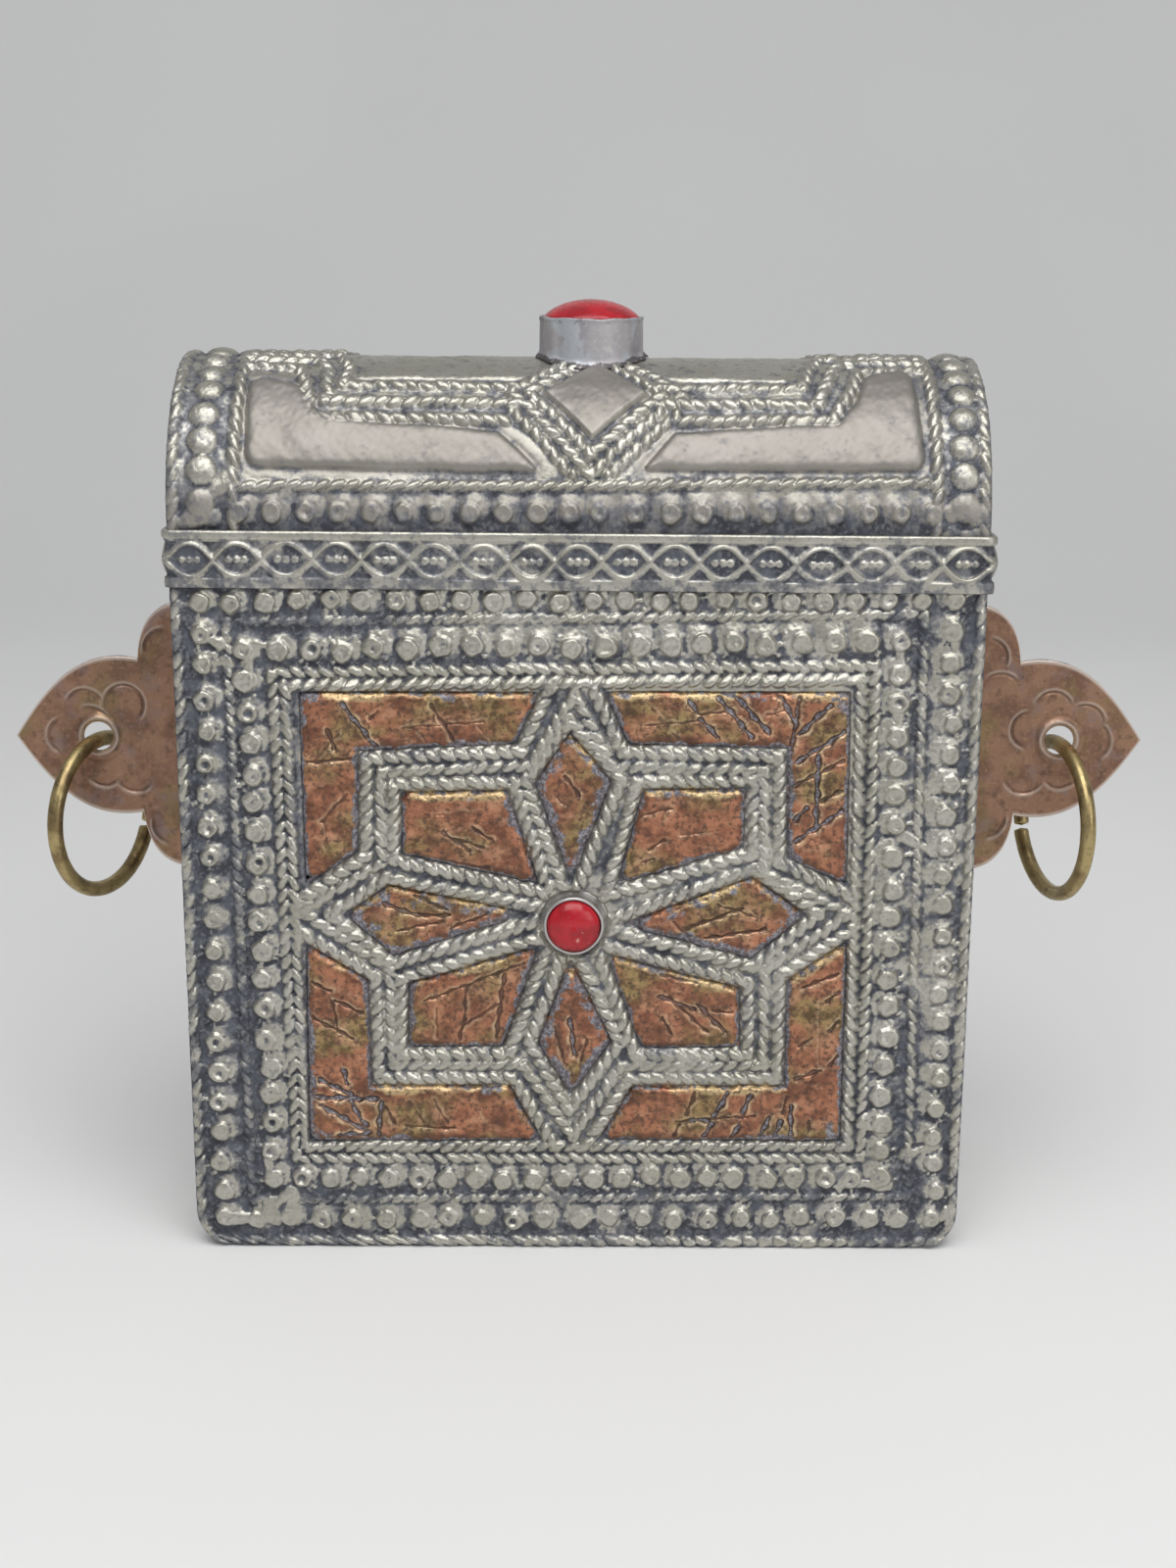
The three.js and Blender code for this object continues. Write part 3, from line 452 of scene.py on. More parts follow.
def worked_silver(name):
    """Nickel silver: bright and warm on raised work, blue-grey and dull where patina lies, and
    smooth with a pinkish tinge where the sheet was left plain. The patina values it reads also carry
    painted shade in the finest grooves and along the foot of the lid's band."""
    silver = Finish(name)
    warm, pale = (0.45, 0.436, 0.375), (0.51, 0.495, 0.442)
    film, grit = (0.33, 0.315, 0.25), (0.26, 0.25, 0.215)
    slate, pale_slate, dust = (0.05, 0.054, 0.068), (0.105, 0.112, 0.135), (0.23, 0.235, 0.25)
    blush, shade, greyed = (0.295, 0.27, 0.252), (0.275, 0.254, 0.23), (0.235, 0.236, 0.25)
    satin = silver.surface("satin")
    broken = silver.shifted(silver.surface("patina"), -0.12, 0.12, 0.7, 3, 0.3, 0.7)
    broken = silver.shifted(broken, -0.27, 0.27, 2.4, 4, 0.35, 0.65)
    dark = silver.between(broken, 0.42, 0.9)
    metal = silver.patched(warm, pale, 9, 3, 0.35, 0.65)
    metal = silver.patched(metal, film, 2.4, 5, 0.45, 0.75, 0.4)
    metal = silver.patched(metal, grit, 0.5, 4, 0.5, 0.72, 0.55)
    plain = silver.patched(blush, shade, 8, 3, 0.35, 0.65, stretch=(1, 1, 2))
    metal = silver.mix(silver.math("MULTIPLY", satin, 0.85), metal, plain)
    metal = silver.mix(silver.between(broken, 0.22, 0.5, 0, 0.85), metal, greyed)
    deep = silver.patched(slate, pale_slate, 3.0, 3, 0.4, 0.62)
    deep = silver.patched(deep, dust, 0.8, 4, 0.5, 0.68, 0.6)
    grain = silver.bump(silver.noise(0.35, 3), silver.between(satin, 0.0, 1.0, 0.6, 0.2), 0.07)
    grain = silver.bump(silver.noise(1.1, 3), silver.between(satin, 0.0, 1.0, 0.7, 0.16), 0.12, grain)
    rough = silver.between(broken, 0.0, 1.0, 0.38, 0.66)
    rough = silver.math("ADD", rough, silver.math("MULTIPLY", satin, 0.14))
    return silver.end(
        base_color=silver.mix(dark, metal, deep), roughness=rough,
        metallic=silver.between(dark, 0.0, 1.0, 0.88, 0.3), normal=grain,
    )


def bend_inset(height):
    """How far the quarter circle at the casket's foot stands in from the side at each height."""
    below = np.sqrt(np.maximum(0, corner_radius**2 - (corner_radius - height) ** 2))
    return np.where(height < corner_radius, corner_radius - below, 0)


embossed_silver = worked_silver("embossed nickel silver")
towards_back = np.array([0.0, 1.0, 0.0])
X = U * (half_width - bend_inset(V)) / half_width
shape = np.stack([X, front_y - height, V], 2)
normals = grid_normals(shape)
bounds_of_strips = np.linspace(0, U.shape[1] - 1, 5).round().astype(int)
for name, a, b in zip(("left", "mid_left", "mid_right", "right"), bounds_of_strips, bounds_of_strips[1:]):
    columns = np.s_[:, a : b + 1]
    face = shape[columns]
    depth = front_y + plate_thickness - face[..., 1:2]
    values = {"patina": patina[columns]}
    strip = skin(f"front_plate_{name}", face, depth, towards_back, values, normals[columns])
    strip.data.materials.append(embossed_silver)
    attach(strip, "casket")
    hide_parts("front_plate")


# Copper plates. Twelve pieces of thin sheet cut to the star's cells, beaten up in the middle,
# scored with a chisel and pressed in between the straps, where dark solder holds their edges.
copper_base, copper_rise, copper_sunk = 0.02, 1.08, 0.35
copper_overlap = 0.3


def plate_points(outline, step=0.26):
    """Rows of points between two opposite edges of a cell, each edge a path of equal legs."""
    outline = np.array(outline, float)
    if len(outline) == 6:
        first, second = outline[[1, 0, 5]], outline[[2, 3, 4]]
    else:
        first, second = outline[[0, 1]], outline[[3, 2]]
    legs = len(first) - 1
    longest = max(np.hypot(*np.diff(e, axis=0).T).max() for e in (first, second))
    along = np.linspace(0, legs, legs * round(longest / step) + 1)
    edges = [
        np.stack([np.interp(along, range(legs + 1), e[:, k]) for k in (0, 1)], 1) for e in (first, second)
    ]
    wide = np.hypot(*(edges[0] - edges[1]).T).max()
    share = np.linspace(0, 1, round(wide / step) + 1)[:, None, None]
    return edges[0] * (1 - share) + edges[1] * share


def scored(u, v, strokes):
    """Chisel strokes: the deepest of several wavering flat-bottomed grooves, and the highest of
    the burrs that the chisel pushed up beside them."""
    cut, burr = np.zeros((2, *u.shape))
    for au, av, bu, bv, force in strokes:
        length = np.hypot(bu - au, bv - av)
        s = ((u - au) * (bu - au) + (v - av) * (bv - av)) / length
        over = s - np.clip(s, 0, length)
        aside = ((u - au) * (bv - av) - (v - av) * (bu - au)) / length
        aside = aside + 0.07 * np.sin(s * 1.3 + au) + 0.05 * np.sin(s * 3.1 + av)
        d = np.hypot(aside, over)
        width = (0.18 + 0.3 * force) * (0.85 + 0.3 * np.sin(s * 2.3 + bu))
        cut = np.maximum(cut, force * np.exp(-((d / width) ** 4)))
        one_side = 0.25 + 0.75 * smooth(-0.3, 0.3, aside * np.sign(np.sin(au * 7 + bv)))
        patchy = 0.68 + 0.32 * np.sin(s * 1.7 + bv)
        burr = np.maximum(burr, force * one_side * patchy * np.exp(-(((d - 1.5 * width) / 0.28) ** 2)))
    return cut, burr


def copper_finish():
    """Old copper: red-brown with brassy olive patches; its rim and scores are choked with a
    granular grey-lilac crust, and the finest scores are black. A painted highlight lies along the
    edges that face up and painted shade along those that face down; the burrs are raw metal with a
    painted highlight."""
    copper = Finish("scored copper")
    red, dark_red, rosy = (0.46, 0.20, 0.115), (0.23, 0.097, 0.06), (0.50, 0.25, 0.14)
    olive, dark_olive, brown = (0.37, 0.265, 0.12), (0.135, 0.094, 0.047), (0.105, 0.053, 0.036)
    salmon, shadow, painted_highlight = (0.66, 0.36, 0.22), (0.10, 0.05, 0.036), (0.66, 0.50, 0.27)
    raw_burr_and_highlight, thin_score_black, pitted = (0.80, 0.61, 0.39), (0.06, 0.04, 0.035), (0.105, 0.064, 0.048)
    cut = copper.surface("cut")
    patch = copper.math("ADD", copper.noise(10, 4, (1, 1, 1.4)), copper.surface("brassy"))
    reds = copper.patched(red, dark_red, 2.6, 5, 0.38, 0.62)
    olives = copper.patched(olive, dark_olive, 1.9, 4, 0.4, 0.62)
    body = copper.mix(copper.between(patch, 0.46, 0.68), reds, olives)
    body = copper.patched(body, rosy, 0.8, 3, 0.5, 0.75, 0.55)
    body = copper.patched(body, brown, 5, 3, 0.5, 0.68, 0.6)
    body = copper.patched(body, salmon, 4, 3, 0.52, 0.7, 0.55, (1, 1, 1.5))
    # Painted light: a pale brassy highlight along the edges of each plate that face up, and painted shade
    # along those that face down.
    light = copper.shifted(copper.surface("painted_light_and_shade"), -0.62, 0.2, 7, 4, 0.35, 0.65)
    body = copper.mix(copper.between(light, -0.5, -1.2, 0, 0.7), body, shadow)
    body = copper.mix(copper.between(light, 0.4, 0.95, 0, 0.8), body, painted_highlight)
    # The burrs: raw copper with a painted highlight on it.
    body = copper.mix(copper.surface("burr"), body, raw_burr_and_highlight)
    crust = copper.patched((0.13, 0.125, 0.145), (0.32, 0.31, 0.34), 0.5, 3, 0.4, 0.62)
    eaten = copper.shifted(copper.surface("edge"), -0.34, 0.34, 1.5, 4, 0.3, 0.7)
    body = copper.mix(copper.between(eaten, 0.42, 0.62), body, crust)
    body = copper.mix(copper.between(cut, 0.62, 0.85), body, crust)
    # The finest, shallowest scores are darkened to near black.
    thin = copper.math("MULTIPLY", copper.between(cut, 0.2, 0.5), copper.between(cut, 0.85, 0.6))
    body = copper.mix(copper.math("MULTIPLY", thin, 0.75), body, thin_score_black)
    body = copper.patched(body, pitted, 0.7, 5, 0.48, 0.66, 0.8)
    grain = copper.bump(copper.noise(0.4, 3), 0.5, 0.08)
    grain = copper.bump(copper.noise(2.0, 4), 0.9, 0.42, grain)
    return copper.end(
        base_color=body, roughness=copper.between(eaten, 0.0, 0.9, 0.31, 0.6),
        metallic=copper.between(eaten, 0.35, 0.6, 0.72, 0.3), normal=grain,
    )


scored_copper = copper_finish()
# Strokes that stand out on the real plates, each from one place to another, with its force.
strokes_each = {
    "inlay_corner_top_left": [
        (-36.3, 91.0, -30.6, 83.6, 0.9), (-40.7, 81.9, -36.9, 86.3, 0.4), (-41.9, 81.7, -33.9, 82.4, 0.6),
        (-22.6, 91.0, -18.4, 84.2, 0.6), (-24.2, 86.4, -22.9, 84.1, 0.4), (-17.2, 91.5, -15.9, 89.5, 0.35),
        (-27.1, 87.3, -14.3, 88.3, 0.4), (-39.8, 72.3, -35.7, 76.8, 0.45), (-39.3, 73.0, -39.2, 68.2, 0.35),
        (-15.3, 87.6, -12.7, 84.6, 0.35), (-38.5, 87.0, -37.6, 84.0, 0.7), (-32.0, 88.6, -30.6, 89.9, 0.5),
    ],
    "inlay_corner_top_right": [
        (10.3, 91.7, 16.2, 84.6, 0.35), (10.3, 87.8, 18.4, 88.5, 0.4), (18.4, 89.5, 23.7, 90.2, 0.45),
        (17.0, 91.9, 18.2, 89.8, 0.9), (18.8, 88.7, 21.5, 86.0, 0.9), (21.5, 92.2, 26.6, 86.1, 0.95),
        (24.1, 92.4, 29.4, 86.6, 1.0), (30.8, 92.7, 33.4, 88.3, 0.95), (33.4, 88.3, 32.8, 83.9, 0.8),
        (33.9, 92.4, 33.4, 88.7, 0.8), (38.6, 91.0, 33.9, 86.5, 0.95), (41.0, 86.8, 33.6, 82.1, 0.85),
        (37.0, 83.3, 37.0, 71.8, 0.95), (40.9, 82.3, 33.1, 78.2, 0.7), (40.9, 77.5, 37.6, 75.9, 0.7),
        (35.5, 74.7, 33.6, 72.8, 0.85), (40.9, 74.2, 33.6, 69.3, 0.9), (29.0, 89.6, 32.5, 90.4, 0.4),
    ],
    "inlay_corner_bottom_left": [
        (-42.4, 46.1, -39.2, 44.5, 0.6), (-38.4, 42.8, -34.2, 40.8, 0.65), (-39.0, 43.1, -38.0, 37.6, 0.45),
        (-42.1, 40.0, -35.8, 36.5, 0.65), (-37.4, 31.1, -36.9, 28.9, 0.95), (-41.1, 29.4, -36.3, 26.9, 0.95),
        (-41.9, 26.4, -31.9, 26.1, 1.0), (-41.1, 25.0, -33.5, 20.4, 0.95), (-36.3, 25.6, -34.0, 21.5, 0.95),
        (-31.4, 25.8, -31.9, 20.1, 0.9), (-30.8, 24.8, -29.3, 22.0, 0.6), (-26.9, 25.8, -24.5, 22.0, 0.45),
        (-23.0, 26.1, -20.9, 22.2, 0.45), (-16.8, 25.6, -15.1, 22.3, 0.35), (-27.7, 21.6, -19.5, 21.1, 0.45),
        (-38.2, 19.9, -34.0, 20.1, 0.95),
    ],
    "inlay_corner_bottom_right": [
        (18.9, 27.6, 17.6, 23.5, 0.6), (24.1, 27.3, 22.1, 23.5, 0.95), (27.8, 27.0, 26.6, 23.8, 0.9),
        (16.0, 22.5, 28.5, 23.5, 0.5), (18.4, 22.7, 21.1, 22.6, 0.9), (16.5, 21.9, 15.7, 19.9, 0.6),
        (21.7, 22.1, 20.6, 19.9, 0.9), (26.1, 21.8, 24.9, 19.8, 0.9), (30.9, 23.2, 29.5, 20.2, 0.95),
        (32.8, 22.7, 32.0, 20.2, 0.95), (34.4, 25.0, 34.4, 20.5, 0.9), (33.6, 26.7, 33.1, 23.8, 0.5),
        (37.4, 22.7, 37.2, 20.5, 0.55), (35.0, 29.9, 38.9, 31.4, 0.75), (35.2, 35.5, 37.4, 36.9, 0.5),
        (41.5, 44.5, 39.6, 43.1, 0.7), (41.6, 39.6, 40.1, 38.1, 0.7), (41.6, 33.7, 40.4, 32.3, 0.7),
        (38.5, 42.8, 38.7, 32.6, 0.35), (35.8, 45.4, 41.3, 47.7, 0.6),
    ],
    "inlay_quad_top_left": [
        (-20.9, 70.6, -17.0, 67.8, 0.7), (-19.0, 69.6, -14.6, 68.2, 0.5), (-23.5, 66.1, -13.8, 64.9, 0.55),
        (-22.5, 73.5, -15.0, 74.0, 0.35), (-16.5, 71.5, -13.5, 69.5, 0.6),
    ],
    "inlay_quad_top_right": [
        (9.5, 73.5, 14.5, 74.6, 0.45), (13.0, 72.8, 14.0, 75.0, 0.4), (11.0, 68.0, 13.6, 69.6, 0.5),
        (9.8, 66.0, 12.0, 66.6, 0.45), (16.0, 70.4, 21.0, 71.0, 0.35),
    ],
    "inlay_quad_bottom_left": [
        (-24.3, 42.8, -8.4, 49.3, 0.5), (-17.6, 45.4, -17.9, 40.2, 0.55), (-17.9, 40.2, -18.7, 36.6, 0.6),
        (-11.5, 47.5, -12.9, 36.9, 0.7), (-22.3, 41.6, -22.3, 36.9, 0.4), (-18.2, 38.7, -12.3, 42.5, 0.45),
    ],
    "inlay_quad_bottom_right": [
        (13.1, 47.4, 18.8, 46.1, 0.6), (12.8, 43.8, 18.5, 41.6, 0.75), (19.1, 42.4, 23.4, 38.0, 0.75),
        (14.5, 43.6, 20.9, 37.7, 0.5), (13.4, 40.2, 15.1, 37.4, 0.55), (21.4, 41.4, 24.6, 41.1, 0.5),
    ],
    "inlay_kite_left": [
        (-30.5, 59.0, -25.0, 57.0, 0.75), (-25.0, 57.0, -20.0, 57.2, 0.6), (-25.5, 60.3, -20.5, 58.0, 0.65),
        (-28.5, 54.5, -21.0, 56.2, 0.45), (-20.0, 55.0, -14.0, 57.4, 0.5),
    ],
    "inlay_kite_right": [
        (12.5, 57.5, 20.0, 60.0, 0.5), (17.0, 55.0, 26.0, 58.5, 0.6), (20.0, 53.5, 29.5, 55.0, 0.55),
        (22.0, 59.0, 28.0, 57.0, 0.45), (15.0, 56.2, 17.5, 53.8, 0.5),
    ],
    "inlay_kite_top": [
        (-2.0, 79.8, 0.2, 76.5, 0.6), (1.5, 74.0, 0.2, 70.5, 0.4), (-3.5, 76.5, -1.6, 75.0, 0.4),
    ],
    "inlay_kite_bottom": [
        (-1.2, 40.0, -0.4, 34.0, 0.85), (-3.6, 38.5, -2.0, 32.5, 0.5), (1.6, 36.5, 0.6, 32.8, 0.5),
    ],
}
# Each plate is a cushion: round over its rim, flat in the middle, with its strokes cut in. The crust
# is widest round the kites and in places along the rest; a painted highlight lies along the edges
# that face up, and painted shade along those that face down.
round_off = 1.3
for number, (name, outline) in enumerate(cells.items()):
    grid = plate_points(grown(outline, copper_overlap))
    u, v = grid[..., 0], grid[..., 1]
    rim = grown(outline, copper_overlap - round_off)
    deep = inside_distance(u, v, rim) + round_off
    # Painted light and shade: above zero along the edges that face up, below zero along those that face down.
    painted_light_and_shade = (inside_distance(u, v - 0.5, rim) - inside_distance(u, v + 0.5, rim)) * smooth(2.3, 0.5, deep)
    deep = deep + 0.16 * waves(u, v, 5, 70 + number) + 0.05 * waves(u, v, 1.5, 90 + number)
    shoulder = np.clip(deep / 1.7, 0, 1)
    cut, burr = scored(u, v, strokes_each[name])
    cut, burr = cut * smooth(0.1, 0.9, deep), burr * smooth(0.3, 1.2, deep) * (cut < 0.35)
    beaten = 1 + 0.06 * waves(u, v, 11, 50 + number)
    top = copper_rise * np.sqrt(np.clip(1 - (1 - shoulder) ** 2.2, 0, 1)) * beaten
    top = top - 0.46 * cut + 0.2 * burr + 0.06 * waves(u, v, 3, 30 + number) * shoulder
    top = np.clip(copper_base + top, 0.0, 1.25)
    crust_width = 2.2 if "kite" in name else 0.5
    crust_width = crust_width + 1.1 * smooth(0.15, 0.8, waves(u, v, 20, 200))
    crust = 0.85 * smooth(crust_width + 0.5, 0.2, deep) * (1 - 0.5 * np.clip(painted_light_and_shade, 0, 1))
    if "corner" in name:
        from_corner = np.hypot(u - outline[0][0], v - outline[0][1])
        crust = np.maximum(crust, 0.7 * np.exp(-((from_corner / 3.4) ** 2)))
    values = {
        "edge": crust, "cut": cut, "burr": 0.85 * burr, "painted_light_and_shade": painted_light_and_shade, "brassy": 0.12 * waves(u, v, 14, 5),
    }
    points = np.stack([u, front_y - top, v], 2)
    facing = np.cross(points[0, 1] - points[0, 0], points[1, 0] - points[0, 0])
    if facing[1] > 0:
        points, values = points[::-1], {key: value[::-1] for key, value in values.items()}
    depth = front_y + copper_sunk - points[..., 1:2]
    plate = skin(name.replace("inlay", "copper"), points, depth, towards_back, values)
    plate.data.materials.append(scored_copper)
    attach(plate, "casket")
    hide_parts(name)


# Front bezel and stone. A low flared collar of plain nickel silver, soldered in the middle of the
# star, with its rim burnished down over an opaque red glass cabochon.
stone_radius, stone_rise = 4.1, 1.7
collar_base, collar_top, collar_height = 5.3, 4.75, 2.3


def turned_points(profile, count, wobble=0.0, seed=0):
    """A profile of radius and height turned round the upright axis, its radius swelling and
    shrinking a little with the angle. Rows run round the axis, columns along the profile."""
    angle = np.linspace(0, 2 * np.pi, count, endpoint=False)[:, None]
    radius, height = np.array(profile, float).T
    swell = 1 + wobble * waves(3 * np.cos(angle), 3 * np.sin(angle) + 0.4 * height, 4, seed, 8)
    return np.stack([radius * swell * np.cos(angle), radius * swell * np.sin(angle), height + 0 * angle], 2)


def round_mesh(name, points):
    """A closed skin from rows that run round an axis; the first and last columns end in a pole
    or, where they are apart, meet each other."""
    index = np.arange(points.shape[0] * points.shape[1]).reshape(points.shape[:2])
    quads = grid_faces(np.concatenate([index, index[:1]]), flipped=True)
    ends = [index[:, 0][::-1], index[:, -1]]
    return make_mesh(name, points.reshape(-1, 3), quads, ends, len(quads))


def curve(points, count):
    """A smooth line through some points: a cubic between each two, level with its neighbours."""
    p = np.array(points, float)
    slope = np.gradient(p, axis=0)
    t = np.linspace(0, len(p) - 1, count)
    i = np.minimum(t.astype(int), len(p) - 2)
    w = (t - i)[:, None]
    return (
        (2 * w**3 - 3 * w**2 + 1) * p[i] + (w**3 - 2 * w**2 + w) * slope[i]
        + (3 * w**2 - 2 * w**3) * p[i + 1] + (w**3 - w**2) * slope[i + 1]
    )


def plain_silver(name):
    """Plain nickel silver sheet: satin, finely scratched, with soft lilac-grey tarnish clouds."""
    silver = Finish(name)
    clean, cloudy, lilac = (0.56, 0.545, 0.53), (0.47, 0.455, 0.44), (0.36, 0.35, 0.37)
    tarnish, dark_seam = (0.27, 0.268, 0.285), (0.11, 0.112, 0.125)
    metal = silver.patched(clean, cloudy, 14, 4, 0.38, 0.66)
    metal = silver.patched(metal, lilac, 5, 4, 0.5, 0.75, 0.45)
    dirt = silver.shifted(silver.surface("patina"), -0.22, 0.22, 2.2, 5, 0.3, 0.7)
    colour = silver.mix(silver.between(dirt, 0.2, 0.75), metal, tarnish)
    colour = silver.mix(silver.between(dirt, 0.7, 1.15), colour, dark_seam)
    scratch = silver.noise(2.2, 6, (0.12, 0.12, 1.6), 0.7)
    grain = silver.bump(scratch, 0.25, 0.03)
    grain = silver.bump(silver.noise(7, 2), 0.6, 0.22, grain)
    return silver.end(
        base_color=colour, roughness=silver.between(scratch, 0.35, 0.65, 0.30, 0.46),
        metallic=silver.between(dirt, 0.4, 1.1, 0.9, 0.4), normal=grain,
    )


def red_stone():
    """Opaque red glass paste: deep red, faintly streaked, glossy, with small pale chips."""
    stone = Finish("red glass")
    body = stone.patched((0.44, 0.010, 0.020), (0.31, 0.007, 0.014), 2.6, 4, 0.4, 0.65)
    chip = stone.math("ADD", stone.noise(1.3, 2), stone.surface("chip"))
    colour = stone.mix(stone.between(chip, 0.69, 0.78, 0, 0.75), body, (0.66, 0.30, 0.27))
    rough = stone.between(stone.noise(0.9, 4), 0.35, 0.75, 0.14, 0.42)
    dents = stone.bump(stone.noise(1.3, 2), 0.35, 0.12)
    return stone.end(base_color=colour, roughness=rough, normal=dents)


smooth_silver = plain_silver("plain nickel silver")
red_glass = red_stone()
bowl = stone_radius + 0.06
collar_profile = np.concatenate([
    curve([(0, 0.0), (collar_base * 0.7, 0.0), (collar_base + 0.35, 0.0)], 5),
    curve([
        (collar_base + 0.32, 0.12), (collar_base - 0.1, 0.45), (collar_top + 0.02, 1.2),
        (collar_top - 0.02, 2.0), (collar_top - 0.25, collar_height),
        (bowl + 0.06, collar_height - 0.08), (bowl, 1.6),
    ], 26),
    curve([(bowl, 1.2), (stone_radius * 0.6, 0.7), (0, 0.6)], 4),
])
collar = turned_points(collar_profile, 72, 0.014, 31)
dome = np.linspace(0, np.pi / 2, 16)
cabochon = turned_points(
    np.concatenate([
        [(0, 0.75), (stone_radius - 0.3, 0.75), (stone_radius, 0.95)],
        np.stack([stone_radius * np.cos(dome) ** 0.9, 2.1 + (stone_rise + 0.1) * np.sin(dome)], 1),
    ]), 64, 0.01, 32,
)
for name, points, node, slot in (
    ("front_collar", collar, "front_bezel", "plain_nickel_silver"),
    ("front_stone", cabochon, "front_cabochon", "red_glass"),
):
    placed = np.stack([points[..., 0] + star_x, front_y - 0.02 - points[..., 2], points[..., 1] + star_z], 2)
    piece = round_mesh(name, placed)
    piece.data.materials.append(red_glass if slot == "red_glass" else smooth_silver)
    paint(piece, chip=0.45 * np.exp(-(((points[..., 0] - 0.7) ** 2 + (points[..., 1] + 1.8) ** 2) / 0.3)))
    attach(piece, "casket")
    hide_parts(node)


# Side strip. One strip of plain sheet bent into a U, which makes both sides and the base, with
# dull solder run along its edges where the front and back plates are joined on.
strip_reach = 22.72


def bent_path(step):
    """Down the left side, round a quarter circle, along the base, round and up the right side:
    places along the strip and the direction that faces out at each."""
    centre = half_width - corner_radius
    straight = np.linspace(casket_height, corner_radius, round((casket_height - corner_radius) / step))
    bend = np.linspace(np.pi, 1.5 * np.pi, round(np.pi / 2 * corner_radius / step))
    base = np.linspace(-centre, centre, round(2 * centre / step))
    left = np.stack([0 * straight - half_width, straight], 1)
    turn = np.stack([corner_radius * np.cos(bend) - centre, corner_radius * (1 + np.sin(bend))], 1)
    level = np.stack([base, 0 * base], 1)
    half = np.concatenate([left, turn[1:]])
    path = np.concatenate([half, level[1:-1], half[::-1] * (-1, 1)])
    along = np.gradient(path, axis=0)
    along /= np.hypot(along[:, 0], along[:, 1])[:, None]
    return path, np.stack([along[:, 1], -along[:, 0]], 1)


path, outward = bent_path(0.55)
run = np.cumsum(np.hypot(*np.gradient(path, axis=0).T))
across, along = np.meshgrid(np.linspace(-strip_reach, strip_reach, 84), run)
dents = 0.16 * waves(across, along, 26, 41) + 0.05 * waves(across, along, 7, 42) - 0.12
edge = strip_reach - np.abs(across)
dents = np.minimum(dents + 0.22 * smooth(1.6, 0.2, edge) * (0.7 + 0.5 * waves(across, along, 3.2, 43)), 0.0)
dents *= smooth(0, 6, path[:, 1:2]) * 0.9 + 0.1
points = np.stack([path[:, :1] + outward[:, :1] * dents, across, path[:, 1:] + outward[:, 1:] * dents], 2)
into = np.stack([-outward[:, 0], 0 * run, -outward[:, 1]], 1)[:, None, :]
grime = 0.95 * smooth(2.0, 0.2, edge) + 0.2 * waves(across, along, 30, 44) + 0.3 * smooth(9, 1, path[:, 1:2])
strip = skin("side_strip", points, plate_thickness, into, {"patina": grime})
strip.data.materials.append(smooth_silver)
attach(strip, "casket")
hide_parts("side_wrap")


# Back plate. A plain sheet that closes the casket, a little dented and scratched from wear,
# with a chased line just inside its edge and solder round its rim.
back = new_sheet(-half_width, half_width, 0, casket_height, 0.55)
BU, BV = back["U"], back["V"]
rim = np.minimum(half_width - np.abs(BU), BV)
back_height = 0.18 * waves(BU, BV, 40, 51) + 0.07 * waves(BU, BV, 11, 52) - 0.32
back_height -= 0.12 * np.exp(-(((rim - 3.6) / 0.45) ** 2)) + 0.3 * (np.maximum(0.9 - rim, 0) / 0.9) ** 2
back_x = -BU * (half_width - bend_inset(BV)) / half_width
points = np.stack([back_x, -front_y + back_height, BV], 2)
grime = 0.75 * smooth(4.2, 0.3, rim) + 0.2 * waves(BU, BV, 34, 53) + 0.35 * smooth(106, 111, BV)
grime += 0.5 * np.exp(-(((rim - 3.6) / 0.5) ** 2))
plate = skin("back_sheet", points, back_height[..., None] + plate_thickness, -towards_back, {"patina": grime})
plate.data.materials.append(smooth_silver)
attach(plate, "casket")
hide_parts("back_plate")


# Lugs. A leaf-shaped plate of copper on each side, cut with shears and filed, engraved with thin
# double arcs, with a raised eyelet. Its root is bent back as a foot and soldered to the side.
lug_height, lug_hole_x, lug_hole_radius, lug_sheet = 80.2, 17.2, 2.4, 1.2


def bezier(points, t):
    """A curve whose shape is drawn by its control points, by repeated halving of shares."""
    level = [np.array(p, float) for p in points]
    while len(level) > 1:
        level = [a * (1 - t) + b * t for a, b in zip(level, level[1:])]
    return level[0]


def lug_points(step):
    """Half a lug, root to tip: columns run outwards at x, rows go from the middle line, or the
    hole's edge, up to the outline: low plus a share times (outline minus low)."""
    waist, tip = (10.3, 12.9), 30.8
    shoulder = bezier([(1.4, 22.5), (9.6, 22.7), waist], np.linspace(0, 1, round(14 / step))[:, None])
    leaf = bezier([waist, (19.3, 14.5), (24.3, 10.1), (tip, 0.0)], np.linspace(0, 1, 600)[:, None])
    turn = np.linspace(0, np.pi, round(6 / step))
    stops = np.concatenate([
        np.arange(waist[0] + step, lug_hole_x - lug_hole_radius - 0.1, step),
        lug_hole_x - lug_hole_radius * np.cos(turn),
        np.arange(lug_hole_x + lug_hole_radius + step, tip - 0.3, step),
        tip - np.array([0.2, 0.1, 0.03, 0.0]),
    ])
    leaf_edge = np.stack([stops, np.interp(stops, leaf[:, 0], leaf[:, 1])], 1)
    outline = np.concatenate([shoulder, leaf_edge])
    low = np.sqrt(np.maximum(0, lug_hole_radius**2 - (outline[:, 0] - lug_hole_x) ** 2))
    share = np.linspace(0, 1, round(24 / step))[:, None]
    return outline[:, 0] + 0 * share, low + share * (outline[:, 1] - low)


